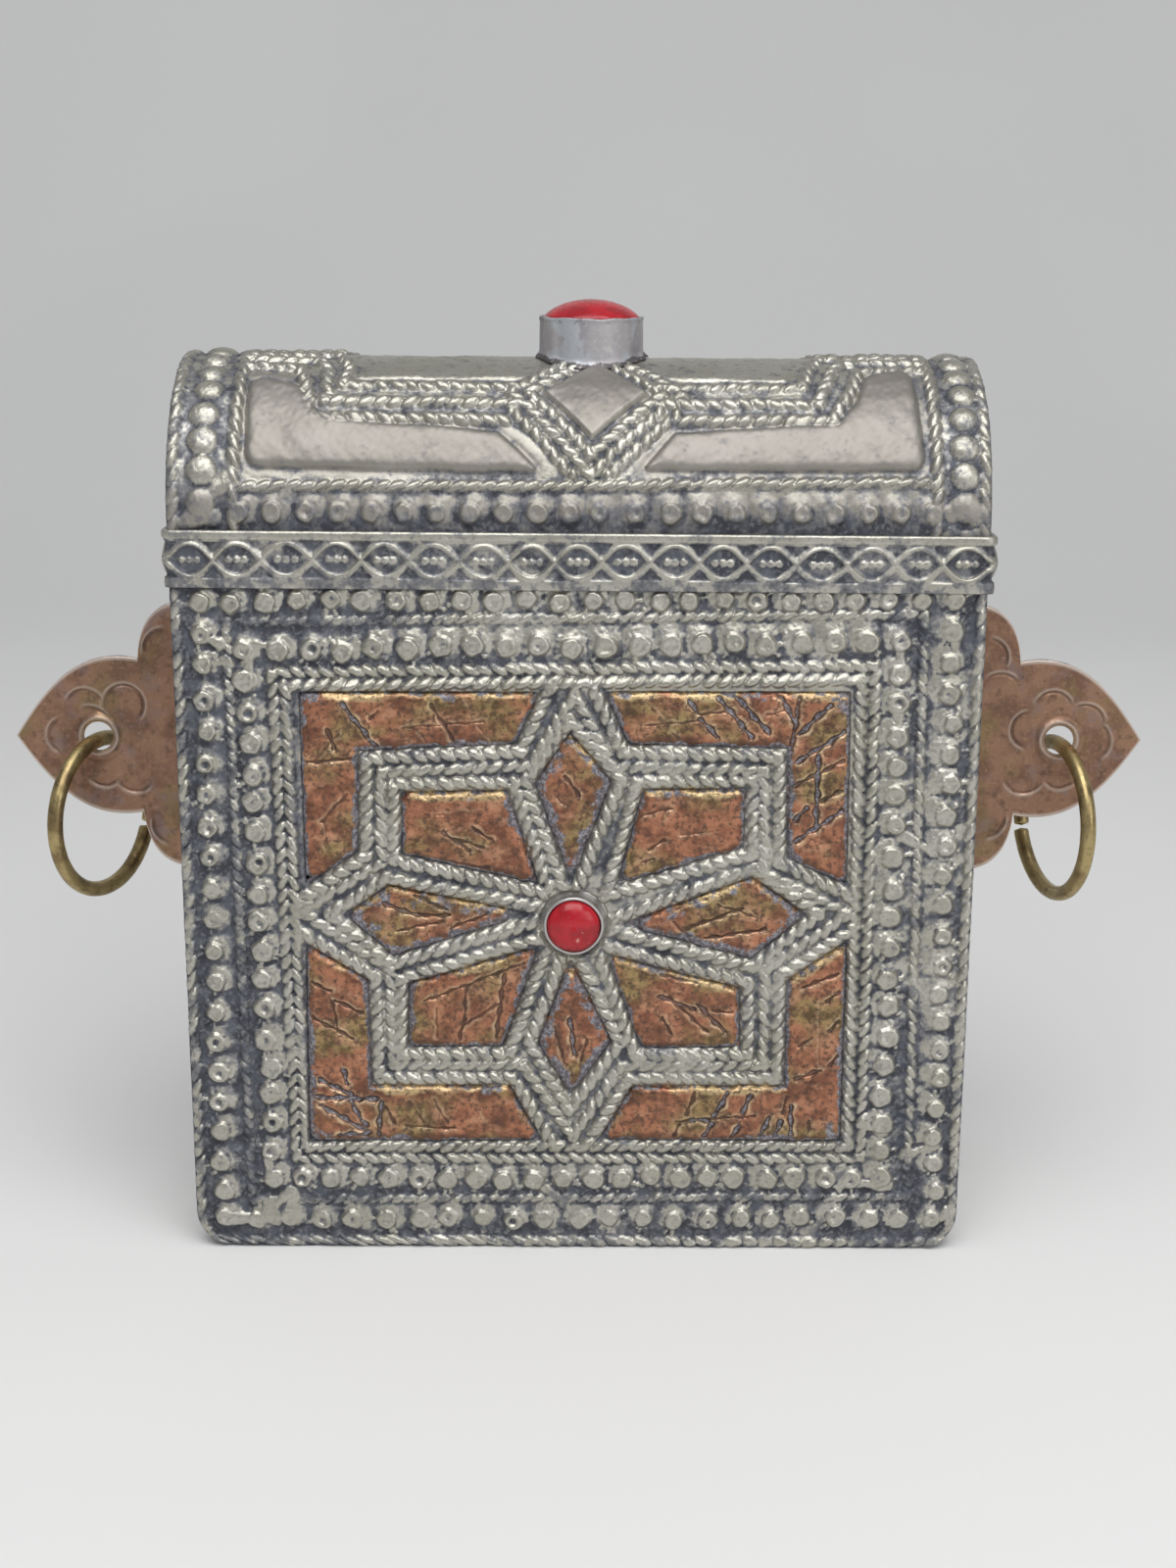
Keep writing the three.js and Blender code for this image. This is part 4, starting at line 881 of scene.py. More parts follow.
def copper_lug_finish():
    """Worn copper sheet: brown with brassy and dark stains, engraved lines black. Its filed edges are
    bright metal with a painted highlight, the crescents' raised lips carry a painted highlight, and the
    eyelet's rim is worn bright.
    """
    copper = Finish("worn copper")
    brown, umber, brassy = (0.33, 0.19, 0.125), (0.215, 0.12, 0.08), (0.26, 0.185, 0.09)
    stained, fresh, lilac = (0.13, 0.08, 0.06), (0.42, 0.27, 0.18), (0.27, 0.20, 0.195)
    filed_metal_and_highlight, blackened = (0.64, 0.54, 0.47), (0.10, 0.065, 0.05)
    body = copper.patched(brown, umber, 6, 5, 0.42, 0.62)
    body = copper.patched(body, brassy, 9, 4, 0.5, 0.66, 0.8, (1, 1, 0.8))
    body = copper.patched(body, stained, 1.3, 5, 0.5, 0.72, 0.7)
    body = copper.patched(body, fresh, 0.6, 4, 0.52, 0.7, 0.5)
    body = copper.patched(body, lilac, 4.5, 4, 0.52, 0.7, 0.6)
    body = copper.mix(copper.surface("bright"), body, filed_metal_and_highlight)
    colour = copper.mix(copper.math("MULTIPLY", copper.surface("cut"), 0.55, True), body, blackened)
    scratch = copper.noise(1.8, 6, (1.2, 1, 0.3), 0.7)
    grain = copper.bump(scratch, 0.35, 0.04)
    grain = copper.bump(copper.noise(3.0, 3), 0.5, 0.14, grain)
    return copper.end(
        base_color=colour, roughness=copper.between(scratch, 0.35, 0.65, 0.36, 0.54),
        metallic=0.78, normal=grain,
    )


worn_copper = copper_lug_finish()
# The lug's cut edge: filed metal with a painted highlight.
edge_finish = Finish("filed edge")
filed_edge_and_highlight = edge_finish.end(
    base_color=edge_finish.patched((0.62, 0.56, 0.53), (0.36, 0.27, 0.22), 1.2, 4, 0.4, 0.7),
    roughness=0.42, metallic=0.7, normal=edge_finish.bump(edge_finish.noise(0.6, 3), 0.5, 0.06),
)
half_x, half_z = lug_points(0.27)
lug_x = np.concatenate([half_x[::-1], half_x])
lug_z = np.concatenate([-half_z[::-1], half_z])
reach = np.hypot(lug_x - lug_hole_x, lug_z)
outline_gap = np.abs(lug_z) - np.abs(lug_z[-1:])
# Crescents struck with a curved punch: out from the eyelet, up from it, the way each faces,
# its radius and half the angle it spans.
crescents = {
    "left": [
        (2.1, 4.6, 90, 3.1, 60), (-4.3, 5.3, 100, 3.2, 120), (-0.5, -5.9, -90, 2.6, 55),
        (5.3, 0.0, 0, 3.0, 60), (1.6, 1.2, 110, 3.6, 32), (-5.6, -6.4, -80, 3.0, 60),
        (-11.5, 14.5, 40, 3.4, 45), (-11.8, -15.0, -30, 3.4, 40),
    ],
    "right": [
        (-1.2, 4.9, 90, 3.1, 62), (4.1, 2.6, 62, 3.2, 50), (5.1, -0.3, 0, 3.3, 50),
        (0.5, -5.6, -90, 2.6, 55), (-5.4, -5.9, -92, 3.2, 62), (-4.8, 1.6, 178, 3.0, 75),
        (-12.4, 13.6, 30, 3.2, 50), (-10.0, 7.6, 88, 3.4, 40), (-11.5, -13.5, -40, 3.2, 45),
    ],
}
# The foot runs back along the side wall, then bends out through a quarter circle into the lug.
bend_radius, foot_depth = 1.5, 5.6
foot = np.linspace(1, 0, 22)
row = np.linspace(0, 1, half_x.shape[0])[:, None]
row = np.concatenate([-row[::-1], row])
foot_z = row * (17.6 + 4.9 * (1 - foot) ** 1.6)
foot_run = foot * (foot_depth + bend_radius)
quarter = np.clip(foot_run / bend_radius, 0, np.pi / 2)
foot_x = 0.34 + 1.1 * (1 - np.sin(quarter)) + 0 * row
for side_name, side, seed in (("left", -1, 63), ("right", 1, 64)):
    curl = 0.12 * waves(lug_x, lug_z, 22, seed)
    engraved, raised = np.zeros((2, *lug_x.shape))
    for dx, dz, facing, radius, half_angle in crescents[side_name]:
        du, dv = lug_x - lug_hole_x - dx, lug_z - dz
        turned = (np.degrees(np.arctan2(dv, du)) - facing + 180) % 360 - 180
        fade = smooth(half_angle + 12, half_angle - 12, np.abs(turned))
        aside = np.hypot(du, dv) - radius
        engraved = np.maximum(engraved, np.exp(-((aside / 0.24) ** 2)) * fade)
        raised = np.maximum(raised, np.exp(-(((aside - 0.46) / 0.24) ** 2)) * fade)
    eyelet = 0.42 * np.exp(-(((reach - 3.05) / 0.42) ** 2)) - 0.1 * np.exp(-(((reach - 4.1) / 0.3) ** 2))
    lug_face = eyelet - 0.2 * engraved + 0.08 * raised
    lug_face = lug_face + 0.10 * waves(lug_x, lug_z, 13, 61) + 0.03 * waves(lug_x, lug_z, 3.4, 62)
    y = -(lug_sheet / 2 + lug_face + curl)
    foot_y = y[:, :1] * (1 - quarter / (np.pi / 2)) + 0.9 * (1 - np.cos(quarter))
    foot_y = foot_y + np.maximum(foot_run - 2.36, 0)
    x = np.concatenate([foot_x[:, :-1], lug_x], 1)
    z = np.concatenate([foot_z[:, :-1], lug_z], 1)
    y = np.concatenate([foot_y[:, :-1], y], 1)
    extra = ((0, 0), (foot_x.shape[1] - 1, 0))
    cut = np.pad(engraved, extra)
    hole_rim = 0.45 * np.exp(-((reach / 2.9) ** 8)) * (reach > 2.2)
    worn_rim = 0.5 * np.exp(-(((reach - 3.0) / 0.35) ** 2)) + hole_rim
    # Bright: along the outline, filed metal with a painted highlight; on the crescents' raised lips, a
    # painted highlight; round the eyelet, wear.
    bright = np.pad(0.9 * smooth(0.75, 0.15, -outline_gap) + worn_rim + 0.45 * raised, extra)
    sheet_points = np.stack([side * (half_width + x), y, lug_height + z], 2).reshape(-1, 3)
    halves = np.split(np.arange(x.size).reshape(x.shape), 2)
    faces = np.concatenate([grid_faces(half) for half in halves])[:, ::side]
    lug = make_mesh(f"copper_lug_{side_name}", sheet_points, faces)
    paint(lug, cut=cut, bright=bright)
    welded = bmesh.new()
    welded.from_mesh(lug.data)
    bmesh.ops.remove_doubles(welded, verts=welded.verts, dist=0.00002)
    welded.to_mesh(lug.data)
    welded.free()
    thick = lug.modifiers.new("sheet", "SOLIDIFY")
    thick.thickness, thick.offset, thick.material_offset_rim = lug_sheet * MM, -1, 1
    lug.data.materials.append(worn_copper)
    lug.data.materials.append(filed_edge_and_highlight)
    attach(lug, "casket")
    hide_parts(f"lug_{side_name}")


# Rings. Two hoops of thick brass wire, bent round by hand, whose cut ends almost meet behind.
# Each hangs loose in a lug's eyelet, and a cord for wearing the box would be tied to it.
ring_radius, wire_radius, ring_play, ring_cut_angle, ring_cut = 12.7, 1.3, 0.35, 112, 0.45
ring_z = lug_height - (lug_hole_radius - wire_radius - ring_play) - ring_radius


def wire_points(seed):
    """A wire of nearly round section carried along a cut circle; its ends close in a half ball
    and stand a little aside from each other. Rows run round the section."""
    total = 2 * np.pi - ring_cut / ring_radius
    t = np.linspace(0, 1, 260)
    angle = math.radians(ring_cut_angle) + 0.5 * ring_cut / ring_radius + t * total
    from_end = np.minimum(t, 1 - t) * total * ring_radius
    thin = np.sqrt(np.clip(1 - (1 - np.clip(from_end / 0.5, 0, 1)) ** 2, 0.0, 1)) * 0.985
    section = np.linspace(0, 2 * np.pi, 28, endpoint=False)[:, None]
    uneven = 0.025 * waves(12 * t + 3 * np.cos(section), 3 * np.sin(section), 5, seed, 8)
    wire = wire_radius * thin * (1 + uneven - 0.02)
    bow = 0.22 * (t - 0.5) ** 3 * 8
    radius = ring_radius - 0.12 * np.abs(bow) + wire * np.cos(section)
    aside = 0.5 * bow * smooth(0.16, 0.02, np.minimum(t, 1 - t)) + wire * np.sin(section)
    return np.stack([aside, radius * np.sin(angle), radius * np.cos(angle)], 2)


def brass_finish():
    """Old brass wire: dull yellow, browned in patches, lightly scratched along its length."""
    brass = Finish("old brass")
    body = brass.patched((0.44, 0.345, 0.165), (0.25, 0.182, 0.09), 3.5, 5, 0.42, 0.66)
    body = brass.patched(body, (0.13, 0.095, 0.06), 1.0, 4, 0.56, 0.74, 0.6)
    rub = brass.noise(1.4, 5, rough=0.7)
    return brass.end(
        base_color=body, roughness=brass.between(rub, 0.35, 0.7, 0.26, 0.5),
        metallic=0.9, normal=brass.bump(rub, 0.35, 0.05),
    )


old_brass = brass_finish()
for side_name, side, turn in (("left", -1, 25), ("right", 1, 14)):
    points = wire_points(71 + side)
    angle = math.radians(side * turn)
    x = points[..., 0] * math.cos(angle) - points[..., 1] * math.sin(angle) + side * (half_width + lug_hole_x)
    y = points[..., 0] * math.sin(angle) + points[..., 1] * math.cos(angle)
    hoop = round_mesh(f"brass_ring_{side_name}", np.stack([x, y, points[..., 2] + ring_z], 2))
    hoop.data.materials.append(old_brass)
    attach(hoop, f"ring_{side_name}")
    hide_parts(f"ring_{side_name}")


# Lid barrel. A sheet embossed as the front is, bent over into a half round on two short walls:
# bead rows and ropes along it, smooth raised panels, a diamond, and bead columns at its ends.
# The same pattern is repeated behind. The lid sits a trifle crooked, higher on the left.
lid_foot, spring_z, barrel_radius = 112.3, 118.1, 23.75
wall = spring_z - lid_foot
per_degree = barrel_radius * np.pi / 180
lid_lean = -0.004
barrel_length = 2 * wall + 180 * per_degree


def up(points):
    """Corners given as x and degrees up the barrel, as x and millimetres along the sheet."""
    return [(x, wall + degree * per_degree) for x, degree in points]


lid = new_sheet(-half_width, half_width, 0, barrel_length / 2, 0.25)
LU, LV = lid["U"], lid["V"]
left_panel = up([
    (-50.7, 62.8), (-49.9, 21.0), (-5.7, 19.6), (-12.4, 35.6), (-38.2, 40.6), (-41.4, 48.0), (-42.9, 56.5),
])
right_panel = up([
    (51.0, 70.8), (43.6, 65.2), (41.9, 49.0), (38.9, 39.8), (14.5, 35.0), (9.4, 20.6), (52.0, 21.2),
])
diamond = up([(-5.6, 53.2), (1.9, 31.6), (10.6, 53.0), (2.6, 73.5)])
moat, margin = np.zeros((2, *LU.shape))
for number, corners in enumerate((left_panel, right_panel)):
    deep = inside_distance(LU, LV, grown(corners, -2.2)) + 2.2
    pointed = inside_distance(LU, LV, grown(corners, -0.5)) + 0.5
    deep += (pointed - deep) * smooth(22, 15, np.abs(LU - 2)) + 0.12 * waves(LU, LV, 9, 80 + number)
    moat += np.exp(-(((deep + 0.45) / 0.5) ** 2))
    margin = np.maximum(margin, smooth(-2.8, -1.2, deep))
    pillow = 0.72 * np.sqrt(np.clip(1 - (1 - np.clip(deep / 1.5, 0, 1)) ** 2, 0, 1))
    pillow *= 1 + 0.10 * waves(LU, LV, 9, 82 + number) * smooth(1, 4, deep)
    lid["work"] = np.maximum(lid["work"], pillow)
deep = inside_distance(LU, LV, grown(diamond, -0.5)) + 0.5
beaten = 1 + 0.06 * waves(LU, LV, 7, 84)
lid["work"] = np.maximum(lid["work"], 0.78 * np.clip(deep / 0.6, 0, 1) ** 0.5 * beaten)
panel_mask = lid["work"] > 0.3
for number, offset in enumerate((1.5, 3.6)):
    around = [tuple(p) for p in grown(diamond, offset)]
    raise_rope(lid, [*around, around[0]], 2.1, 0.85, 2.2, 0.7 * (-1) ** number, 86 + number)
# Three ropes step up and out from each side of the diamond: where each starts, and its bends.
stepped_ropes = [
    (8.5, (36.2, 57.2), (35.2, 70), (37.5, 84)),
    (10.0, (38.6, 48.6), (38.6, 66), (40.5, 76.5)),
    (12.5, (40.6, 41.0), (41.8, 58), (43.0, 69)),
]
for side, start_shift, knee_shift in ((-1, 1.8, 0.0), (1, 2.6, 2.2)):
    for number, (start, knee, hip, turn) in enumerate(stepped_ropes):
        line = [
            (side * start + start_shift, knee[1] - 0.6), (side * (knee[0] - knee_shift), knee[1]),
            (side * hip[0], hip[1]), (side * turn[0], turn[1]), (side * 52.5, turn[1] + 2),
        ]
        slant = 0.7 * (-1) ** (number + 1) * side
        raise_rope(lid, up(line[::side]), 2.3, 0.9, 2.25, slant, 90 + number)
raise_rope(lid, [(-10.0, 24.2), (-1.2, 13.7)], 2.1, 0.85, 2.2, 0.7, 88)
raise_rope(lid, [(4.8, 13.7), (14.7, 23.8)], 2.1, 0.85, 2.2, -0.7, 89)
for ridge in (up([(-33.5, 63.2), (-8.0, 64.0)]), up([(12.5, 64.2), (31.0, 63.4)])):
    raise_rope(lid, ridge, 2.0, 0.3, 9.0, 0.0, 87, 0.0)
rope_columns = (-61.1, -51.9, 53.8, 61.1)
for number, x in enumerate(rope_columns):
    raise_rope(lid, [(x, 1.4), (x, barrel_length / 2 + 2)], 2.0, 0.85, 2.6, 0.8 * (-1) ** number, 95)
raise_rope(lid, up([(-51, 13.8), (0, 15.0), (53, 17.2)]), 1.75, 0.8, 2.25, -0.9, 99)
pick = np.random.default_rng(21)
for x in np.linspace(-51.2, 53.4, 22):
    spot = x + pick.normal(0, 0.2), wall + per_degree * (4.4 + 0.012 * (x + 60))
    raise_bead(lid, spot, 1.8, 0.85, pick, 0.3)
end_step = 11.25
for angle in np.arange(end_step * 0.75, 96, end_step):
    for x in (-56.6, 58.0):
        spot = (x + pick.normal(0, 0.12), wall + per_degree * (angle + pick.normal(0, 0.5)))
        part = window(lid, [spot], 2.4)
        r = np.hypot(LU[part] - spot[0], LV[part] - spot[1]) / pick.uniform(2.1, 2.35)
        lid["work"][part] = np.maximum(lid["work"][part], 1.15 * np.sqrt(np.clip(1 - r**2, 0, 1)) ** 0.8)
for drop in (
    ((-57, 9), (-52.5, 12.5), 1.7, 0.6), ((56.6, 8.6), (59.6, 8.2), 1.9, 0.75),
    ((-46, 8), (-44, 11), 1.0, 0.4), ((56, 5.2), (60, 4.9), 1.3, 0.45),
    ((-58.6, 6.2), (-55.0, 6.8), 1.6, 0.7),
):
    raise_blob(lid, *drop)
lid_ground = 0.09 * waves(LU, LV, 15, 101) + 0.04 * waves(LU, LV, 4, 102) + 0.02 * waves(LU, LV, 1.5, 103)
lid_ground -= 0.25 * np.clip((np.abs(LU) - 61.3) / 0.7, 0, 1) ** 2 + 0.16 * moat
lid_height = np.clip(lid_ground + lid["work"], -0.25, 1.15)
from_middle = np.abs(LU - 1)
softened = smooth(51.5, 54.5, from_middle) * 0.35
lid_height = lid_height * (1 - softened) + blurred(lid_height, 2) * softened
lid_height += 0.03 * waves(LU, LV, 1.1, 106) * smooth(0.1, 0.4, lid["work"]) * (1 - panel_mask)
halo = blurred(lid["work"], 3)
hollow = blurred(lid_height, 4) - lid_height
foot_row = smooth(wall + 4.2, wall + 1.0, LV)
bead_band = smooth(wall + 6.2, wall + 4.4, LV)
stained = 0.04 + 0.5 * foot_row + 0.12 * smooth(50, 57, from_middle)
stained = np.clip(stained + 0.16 * waves(LU, LV, 14, 104), 0.0, 1)
fine_groove = blurred(lid_height, 2) - lid_height
lid_patina_and_shade = stained * smooth(0.5, 0.08, halo) + 0.65 * smooth(0.08, 0.42, hollow) * (0.3 + 0.7 * stained)
lid_patina_and_shade = np.where(LV < 2.2, 0.42 + 0.2 * waves(LU, LV, 6, 105), lid_patina_and_shade)
# Thin dark lines in the finest grooves: patina and painted shade, kept out of the moats.
lid_patina_and_shade = lid_patina_and_shade + 0.36 * smooth(0.04, 0.16, fine_groove) * (1 - 0.8 * moat.clip(0, 1))
dulled = np.maximum(bead_band, smooth(52.5, 54.5, from_middle))
lid_patina_and_shade = np.clip(lid_patina_and_shade + 0.1 * foot_row + 0.16 * dulled, 0, 1)
margin *= smooth(0.3, 0.1, lid["work"]) * smooth(wall + 6.5, wall + 7.5, LV)
satin = blurred(np.maximum(np.maximum(panel_mask, 0.8 * margin), 0.75 * bead_band), 2)


def barrel_points(x, along, height):
    """A point on the barrel: up the front wall, round the half circle, down the back wall,
    moved out along the sheet's own normal by height, with the lid's small lean added."""
    angle = np.clip((along - wall) / barrel_radius, 0, np.pi)
    below = np.minimum(along - wall, 0) + np.minimum(barrel_length - wall - along, 0)
    r = barrel_radius + height
    return np.stack([x, -r * np.cos(angle), spring_z + r * np.sin(angle) + below + lid_lean * x], 2)


def both_halves(front_half):
    """The rows of the front half, then the same rows in mirror order for the back half."""
    return np.concatenate([front_half, front_half[-2::-1]])


across, along = both_halves(LU), np.concatenate([LV, barrel_length - LV[-2::-1]])
barrel = barrel_points(across, along, both_halves(lid_height))
inner_barrel = barrel_points(across, along, -plate_thickness)
stains = {"patina": both_halves(lid_patina_and_shade), "satin": both_halves(satin)}
barrel_normals = grid_normals(barrel)
splits = np.linspace(0, barrel.shape[0] - 1, 4).round().astype(int)
for name, a, b in zip(("front", "top", "back"), splits, splits[1:]):
    rows = np.s_[a : b + 1]
    values = {key: value[rows] for key, value in stains.items()}
    into = inner_barrel[rows] - barrel[rows]
    piece = skin(f"lid_barrel_{name}", barrel[rows], 1.0, into, values, barrel_normals[rows])
    piece.data.materials.append(embossed_silver)
    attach(piece, "lid")
    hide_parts("lid_dome")


# Lid ends. Two flat caps of plain sheet soldered inside the ends of the barrel, each beaten out
# very slightly, with solder round the edge.
end_radius, cap_thickness = 22.6, 1.0
share, across = np.meshgrid(np.linspace(0, 1, 90), np.linspace(-1, 1, 110))
cap_y = end_radius * np.sin(across * np.pi / 2)
cap_top = spring_z + np.sqrt(np.maximum(end_radius**2 - cap_y**2, 0)) - lid_foot
cap_z = lid_foot + 0.1 + share * cap_top
gap = np.minimum(end_radius - np.hypot(cap_y, np.maximum(cap_z - spring_z, 0)), cap_z - lid_foot)
for side_name, side in (("left", -1), ("right", 1)):
    bulge = 0.12 * waves(cap_y, cap_z, 18, 110 + side) + 0.04 * waves(cap_y, cap_z, 5, 112) - 0.75
    bulge = bulge + 0.5 * smooth(1.1, 0.1, gap) * (0.8 + 0.4 * waves(cap_y, cap_z, 2.8, 113))
    points = np.stack([side * (half_width + bulge), cap_y, cap_z + lid_lean * side * half_width], 2)
    points, grime = (points[::-1], gap[::-1]) if side > 0 else (points, gap)
    values = {"patina": 0.9 * smooth(2.2, 0.2, grime) + 0.2}
    cap = skin(f"lid_cap_{side_name}", points, cap_thickness, np.array([-side, 0, 0]), values)
    cap.data.materials.append(smooth_silver)
    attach(cap, "lid")
    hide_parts(f"lid_end_{side_name}")


# Lid band. A strip of sheet stamped with a row of crossing curves that make almond eyes, each
# with three dots, wrapped round the foot of the lid and lapping down over the casket's rim.
band_low, band_tall, band_out, band_corner = 108.6, 8.7, 0.9, 0.7
eye_count = 47


def round_rectangle(half_u, half_v, radius, count):
    """Even places along a rectangle with rounded corners, from the middle of its front side,
    anticlockwise from above, with the direction that faces out at each."""
    quarter, half_front, side_leg = np.pi / 2 * radius, half_u - radius, 2 * (half_v - radius)
    legs = [half_front, quarter, side_leg, quarter, 2 * half_front, quarter, side_leg, quarter, half_front]
    total = sum(legs)
    fine, facing, angle = [], [], -np.pi / 2
    spot = np.array([0.0, -half_v])
    for number, leg in enumerate(legs):
        steps = np.linspace(0, 1, 200)[:, None]
        if number % 2 == 0:
            heading = np.array([-np.sin(angle), np.cos(angle)])
            fine.append(spot + steps * leg * heading)
            facing.append(np.array([np.cos(angle), np.sin(angle)]) + 0 * steps)
        else:
            turns = angle + steps * np.pi / 2
            centre = spot - radius * np.array([np.cos(angle), np.sin(angle)])
            fine.append(centre + radius * np.concatenate([np.cos(turns), np.sin(turns)], 1))
            facing.append(np.concatenate([np.cos(turns), np.sin(turns)], 1))
            angle += np.pi / 2
        spot = fine[-1][-1]
    fine, facing = np.concatenate(fine), np.concatenate(facing)
    run = np.concatenate([[0], np.cumsum(np.hypot(*np.diff(fine, axis=0).T))])
    even = np.linspace(0, total, count, endpoint=False)
    spots = np.stack([np.interp(even, run, fine[:, k]) for k in (0, 1)], 1)
    out = np.stack([np.interp(even, run, facing[:, k]) for k in (0, 1)], 1)
    return spots, out / np.hypot(*out.T)[:, None], even, total


spots, out, even, total = round_rectangle(half_width + 0.1, -front_y + 0.3, band_corner, 1560)
pitch = total / eye_count
BX, BZ = np.meshgrid(even, np.linspace(0, band_tall, 44))
turn = BX * 2 * np.pi / total
warp = 0.22 * np.sin(5 * turn) + 0.16 * np.sin(13 * turn + 1)
phase = (BX + warp) / pitch + 0.5
near_eye = phase - np.floor(phase) - 0.5
rise = BZ - (4.35 + 0.12 * np.sin(7 * turn))
off_middle = np.abs(rise)
eye_half = 2.45
lid_line = eye_half * np.cos(np.pi * near_eye)
steep = np.sqrt(1 + (eye_half * np.pi / pitch * np.sin(np.pi * near_eye)) ** 2)
band_work = 0.5 * np.exp(-(((off_middle - lid_line) / steep / 0.3) ** 2))
for dot in (-1, 0, 1):
    away = np.hypot(near_eye * pitch - dot * 1.22, rise)
    band_work = np.maximum(band_work, 0.5 * np.sqrt(np.clip(1 - (away / 0.64) ** 2, 0, 1)))
eye = smooth(0.1, 0.5, lid_line - off_middle)
corner = smooth(0.85, 1.15, off_middle - lid_line) * smooth(0.2, 0.3, np.abs(near_eye))
corner = corner * smooth(2.85, 2.5, off_middle)
sunk = -0.34 * eye - 0.44 * corner
from_top = band_tall - BZ
top_ridge = 0.3 * smooth(1.5, 1.1, from_top) * smooth(-0.25, 0.35, from_top)
lip = 0.12 * np.sqrt(np.clip(1 - ((BZ - 0.75) / 0.95) ** 2, 0, 1))
worn = 0.75 + 0.25 * waves(np.cos(turn) * 40, np.sin(turn) * 40 + BZ, 14, 121)
band_height = (band_work + sunk) * worn + top_ridge + lip
band_height += 0.05 * waves(np.cos(turn) * 56, np.sin(turn) * 56 + BZ, 6, 122)
band_height = np.clip(band_height, -0.55, 0.5)
proud = band_out - 0.28 * np.abs(out[:, :1].T) + 0.12 * out[:, :1].T
rings = [spots[None] + out[None] * (proud + band_height)[..., None], np.repeat(spots[None], 2, 0)]
levels = np.concatenate([band_low + BZ, [band_low + band_tall + 0 * even], [band_low + 0 * even]])
flat = np.concatenate(rings)
band_points = np.concatenate([flat, levels[..., None]], 2)
band_points[..., 2] += lid_lean * band_points[..., 0]
index = np.arange(levels.size).reshape(levels.shape)
round_and_back = np.pad(index, ((0, 1), (0, 1)), "wrap")
band = make_mesh("eye_band", band_points.reshape(-1, 3), grid_faces(round_and_back))
# Darkest in the sunk eyes and corners and on the bare ground, lighter on the ridges; the darkening along the
# band's bottom edge, where it curves under, is painted shade.
dark = 0.75 * eye * smooth(0.2, 0.0, band_work) + 0.95 * corner + 0.35 * smooth(0.25, 0.0, band_work)
dark = np.clip(dark - 0.6 * smooth(0.05, 0.12, top_ridge + lip), 0, 1)
dark = dark * (0.75 + 0.35 * waves(BX, BZ, 30, 123)) + 0.14 + 0.26 * smooth(1.9, 1.3, BZ)
paint(band, patina=np.concatenate([dark, np.full((2, even.size), 0.5)]))
band.data.materials.append(embossed_silver)
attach(band, "lid")
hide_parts("lid_band")


# Lid bezel and stone. An upright collar of plain sheet, cut below to sit astride the barrel and
# lapped at one side, with rough solder round its foot and a red cabochon under its rim.
crown_x, crown_radius, crown_rise, crown_stone = 1.8, 8.35, 6.4, 7.5


def collar_finish():
    """Dull lilac-grey sheet with a smear of pale solder and brown stains by its foot and rim."""
    dull = Finish("collar nickel silver")
    tint = dull.patched((0.36, 0.34, 0.375), (0.45, 0.435, 0.44), 7, 3, 0.4, 0.6, stretch=(1, 1, 0.25))
    smear = dull.patched(tint, (0.49, 0.51, 0.54), 4.5, 5, 0.47, 0.56, stretch=(1, 1, 0.7))
    stain = dull.between(dull.shifted(dull.surface("patina"), -0.3, 0.3, 1.5, 5, 0.3, 0.7), 0.45, 0.8)
    body = dull.mix(stain, smear, (0.12, 0.11, 0.115))
    body = dull.patched(body, (0.55, 0.53, 0.51), 0.9, 5, 0.56, 0.72, 0.7)
    scratch = dull.noise(1.6, 6, (1, 1, 0.25), 0.7)
    grain = dull.bump(dull.noise(3.5, 3), 0.8, 0.3, dull.bump(scratch, 0.5, 0.06))
    return dull.end(
        base_color=body, roughness=dull.between(scratch, 0.3, 0.7, 0.42, 0.62), metallic=0.6, normal=grain,
    )


angle = np.linspace(0, 2 * np.pi, 160, endpoint=False)[:, None]
round_x, round_y = np.cos(angle), np.sin(angle)
barrel_top = spring_z + barrel_radius
rim_z = barrel_top + crown_rise
saddle = spring_z + np.sqrt(barrel_radius**2 - (crown_radius * round_y) ** 2)
share = np.linspace(0, 1, 40)
lap = 0.28 * smooth(0.0, 0.05, angle - 3.6) * smooth(0.45, 0.3, angle - 3.6)
wall_radius = crown_radius - 0.18 + lap + 0.06 * waves(5 * round_x, 5 * round_y + 3 * share, 6, 131)
solder = 0.75 * np.exp(-((share * 8 / 0.8) ** 2)) * (0.8 + 0.5 * waves(8 * round_x, 8 * round_y, 3, 132))
foot_z = saddle + 0.12
outer_z = foot_z + share * (rim_z - 0.05 - foot_z)
outer_r = wall_radius + solder + 0.12 * smooth(0.9, 1.0, share)
lip_profile = np.array([
    (crown_radius - 0.12, 0.0), (crown_radius - 0.3, 0.05), (crown_stone + 0.22, 0.0),
    (crown_stone + 0.12, -0.35), (crown_stone + 0.12, -2.4), (0.0, -2.5),
])
inner_r = lip_profile[:, 0] + 0 * angle
inner_z = rim_z + lip_profile[:, 1] + 0 * angle
ragged = 0.14 * waves(9 * round_x, 9 * round_y, 5, 134) - 0.1
outer_z = outer_z + ragged * smooth(0.55, 1, share)
inner_z = inner_z + ragged * smooth(-1, -0.1, lip_profile[:, 1])
under_r = np.array([0.0, crown_radius * 0.5, crown_radius * 0.95]) + 0 * angle
under_z = spring_z + np.sqrt(barrel_radius**2 - (under_r * round_y) ** 2) + 0.12
radius = np.concatenate([under_r, outer_r, inner_r], 1)
level = np.concatenate([under_z, outer_z, inner_z], 1)
points = np.stack([crown_x + radius * round_x, radius * round_y, level], 2)
points[..., 2] += lid_lean * points[..., 0]
crown = round_mesh("lid_collar", points)
wall_grime = 1.1 * smooth(0.2, 0.02, share) + 0.25 * smooth(0.75, 0.98, share) + 0.12 + 0 * angle
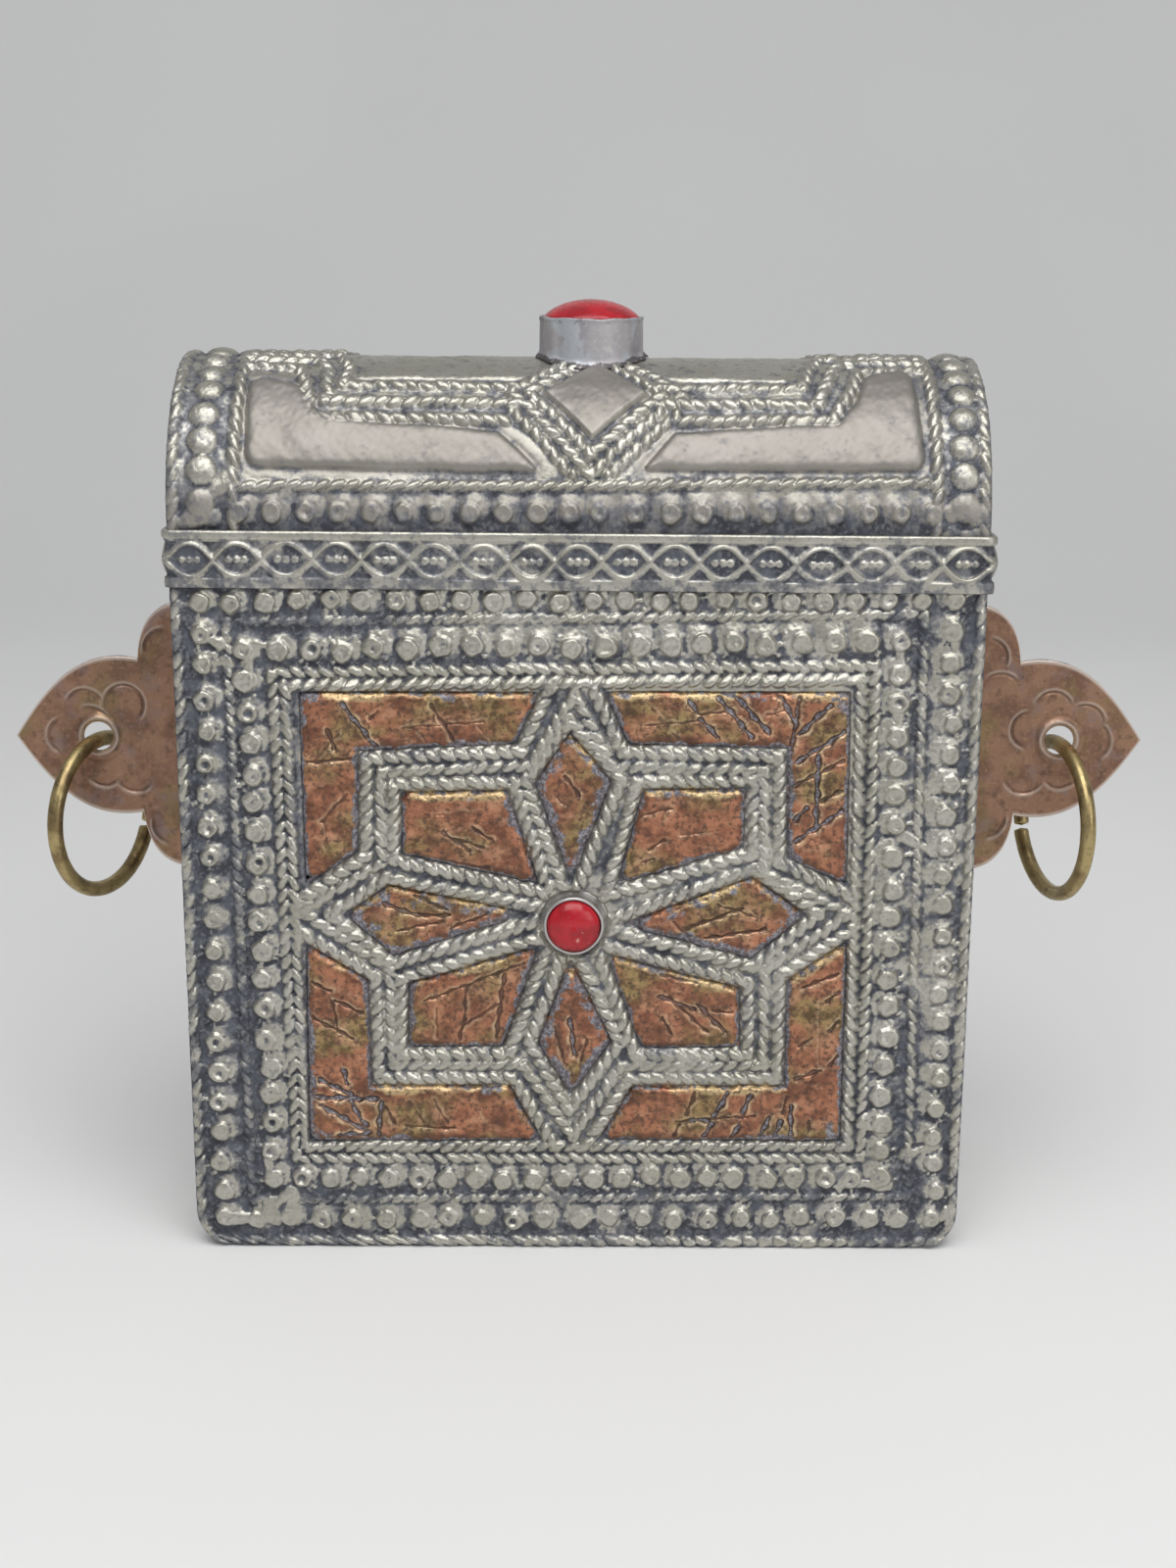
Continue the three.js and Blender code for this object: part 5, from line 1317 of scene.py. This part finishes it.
paint(crown, patina=np.concatenate([0 * under_r + 0.6, wall_grime, 0 * inner_r + 0.45], 1))
crown.data.materials.append(collar_finish())
dome = np.linspace(0, np.pi / 2, 24)
stone_profile = np.concatenate([
    [(0, -2.3), (crown_stone - 0.3, -2.3), (crown_stone, -2.0), (crown_stone, -0.6)],
    np.stack([crown_stone * np.cos(dome), -0.1 + 2.75 * np.sin(dome) ** 1.5], 1),
])
top_stone = turned_points(stone_profile, 96, 0.008, 133)
top_stone = np.stack([top_stone[..., 0] + crown_x, top_stone[..., 1], top_stone[..., 2] + rim_z], 2)
top_stone[..., 2] += lid_lean * top_stone[..., 0]
jewel = round_mesh("lid_stone", top_stone)
jewel.data.materials.append(red_glass)
for piece, slot, node in ((crown, "plain_nickel_silver", "lid_bezel"), (jewel, "red_glass", "lid_cabochon")):
    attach(piece, "lid")
    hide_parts(node)


# Floor and light. A pale floor that curves up into a pale backdrop, one broad soft lamp above
# and in front, a weaker one from the right, and an even pale surround.
floor_reach = 2.2
across, along = np.meshgrid(np.linspace(-floor_reach, floor_reach, 3), np.linspace(0, 1, 60))
bend = 0.5
run = along * 3.4 - 1.2
level = 0.55
turned = np.clip((run - level) / bend, 0, np.pi / 2)
floor_y = np.minimum(run, level) + bend * np.sin(turned)
floor_z = bend * (1 - np.cos(turned)) + np.maximum(run - level - bend * np.pi / 2, 0)
floor_points = np.stack([across, floor_y, floor_z], 2).reshape(-1, 3) / MM
floor = make_mesh("floor", floor_points, grid_faces(np.arange(across.size).reshape(across.shape)))
paper = Finish("pale paper")
paper_colour = paper.patched((0.82, 0.82, 0.81), (0.85, 0.85, 0.84), 400, 2, 0.4, 0.6)
floor.data.materials.append(paper.end(base_color=paper_colour, roughness=0.85))

world = bpy.data.worlds.new("surround")
bpy.context.scene.world = world
world.use_nodes = True
world.node_tree.nodes["Background"].inputs["Color"].default_value = (0.96, 0.97, 1.0, 1)
world.node_tree.nodes["Background"].inputs["Strength"].default_value = 0.34
for name, place, aim, size, power in (
    ("lamp above", (0.02, -0.42, 0.82), (0, 0, 0.08), 0.8, 6.2),
    ("lamp right", (0.75, -0.75, 0.4), (0, 0, 0.07), 0.6, 1.8),
):
    light = bpy.data.lights.new(name, "AREA")
    light.energy, light.size = power, size
    lamp = bpy.data.objects.new(name, light)
    bpy.context.scene.collection.objects.link(lamp)
    lamp.location = place
    lamp.rotation_euler = (Vector(place) - Vector(aim)).to_track_quat("Z", "Y").to_euler()


# Camera. It stands where the photo was taken from: a third of a metre in front and a little
# higher than the lid's stone, looking down at the box, with the photo's own slight roll.
camera_place = np.array([1.55, -347.3, 161.2]) * MM
camera_drop = math.radians(14.38)
camera_roll = math.radians(0.249)
lens = bpy.data.cameras.new("camera")
lens.lens, lens.sensor_width, lens.sensor_fit = 49.5, 36.0, "AUTO"
lens.clip_start = 0.01
camera = bpy.data.objects.new("camera", lens)
bpy.context.scene.collection.objects.link(camera)
camera.location = camera_place
upright = Matrix.Rotation(math.pi / 2 - camera_drop, 4, "X")
camera.rotation_euler = (upright @ Matrix.Rotation(camera_roll, 4, "Z")).to_euler()
bpy.context.scene.camera = camera
bpy.context.scene.view_settings.view_transform = "Standard"
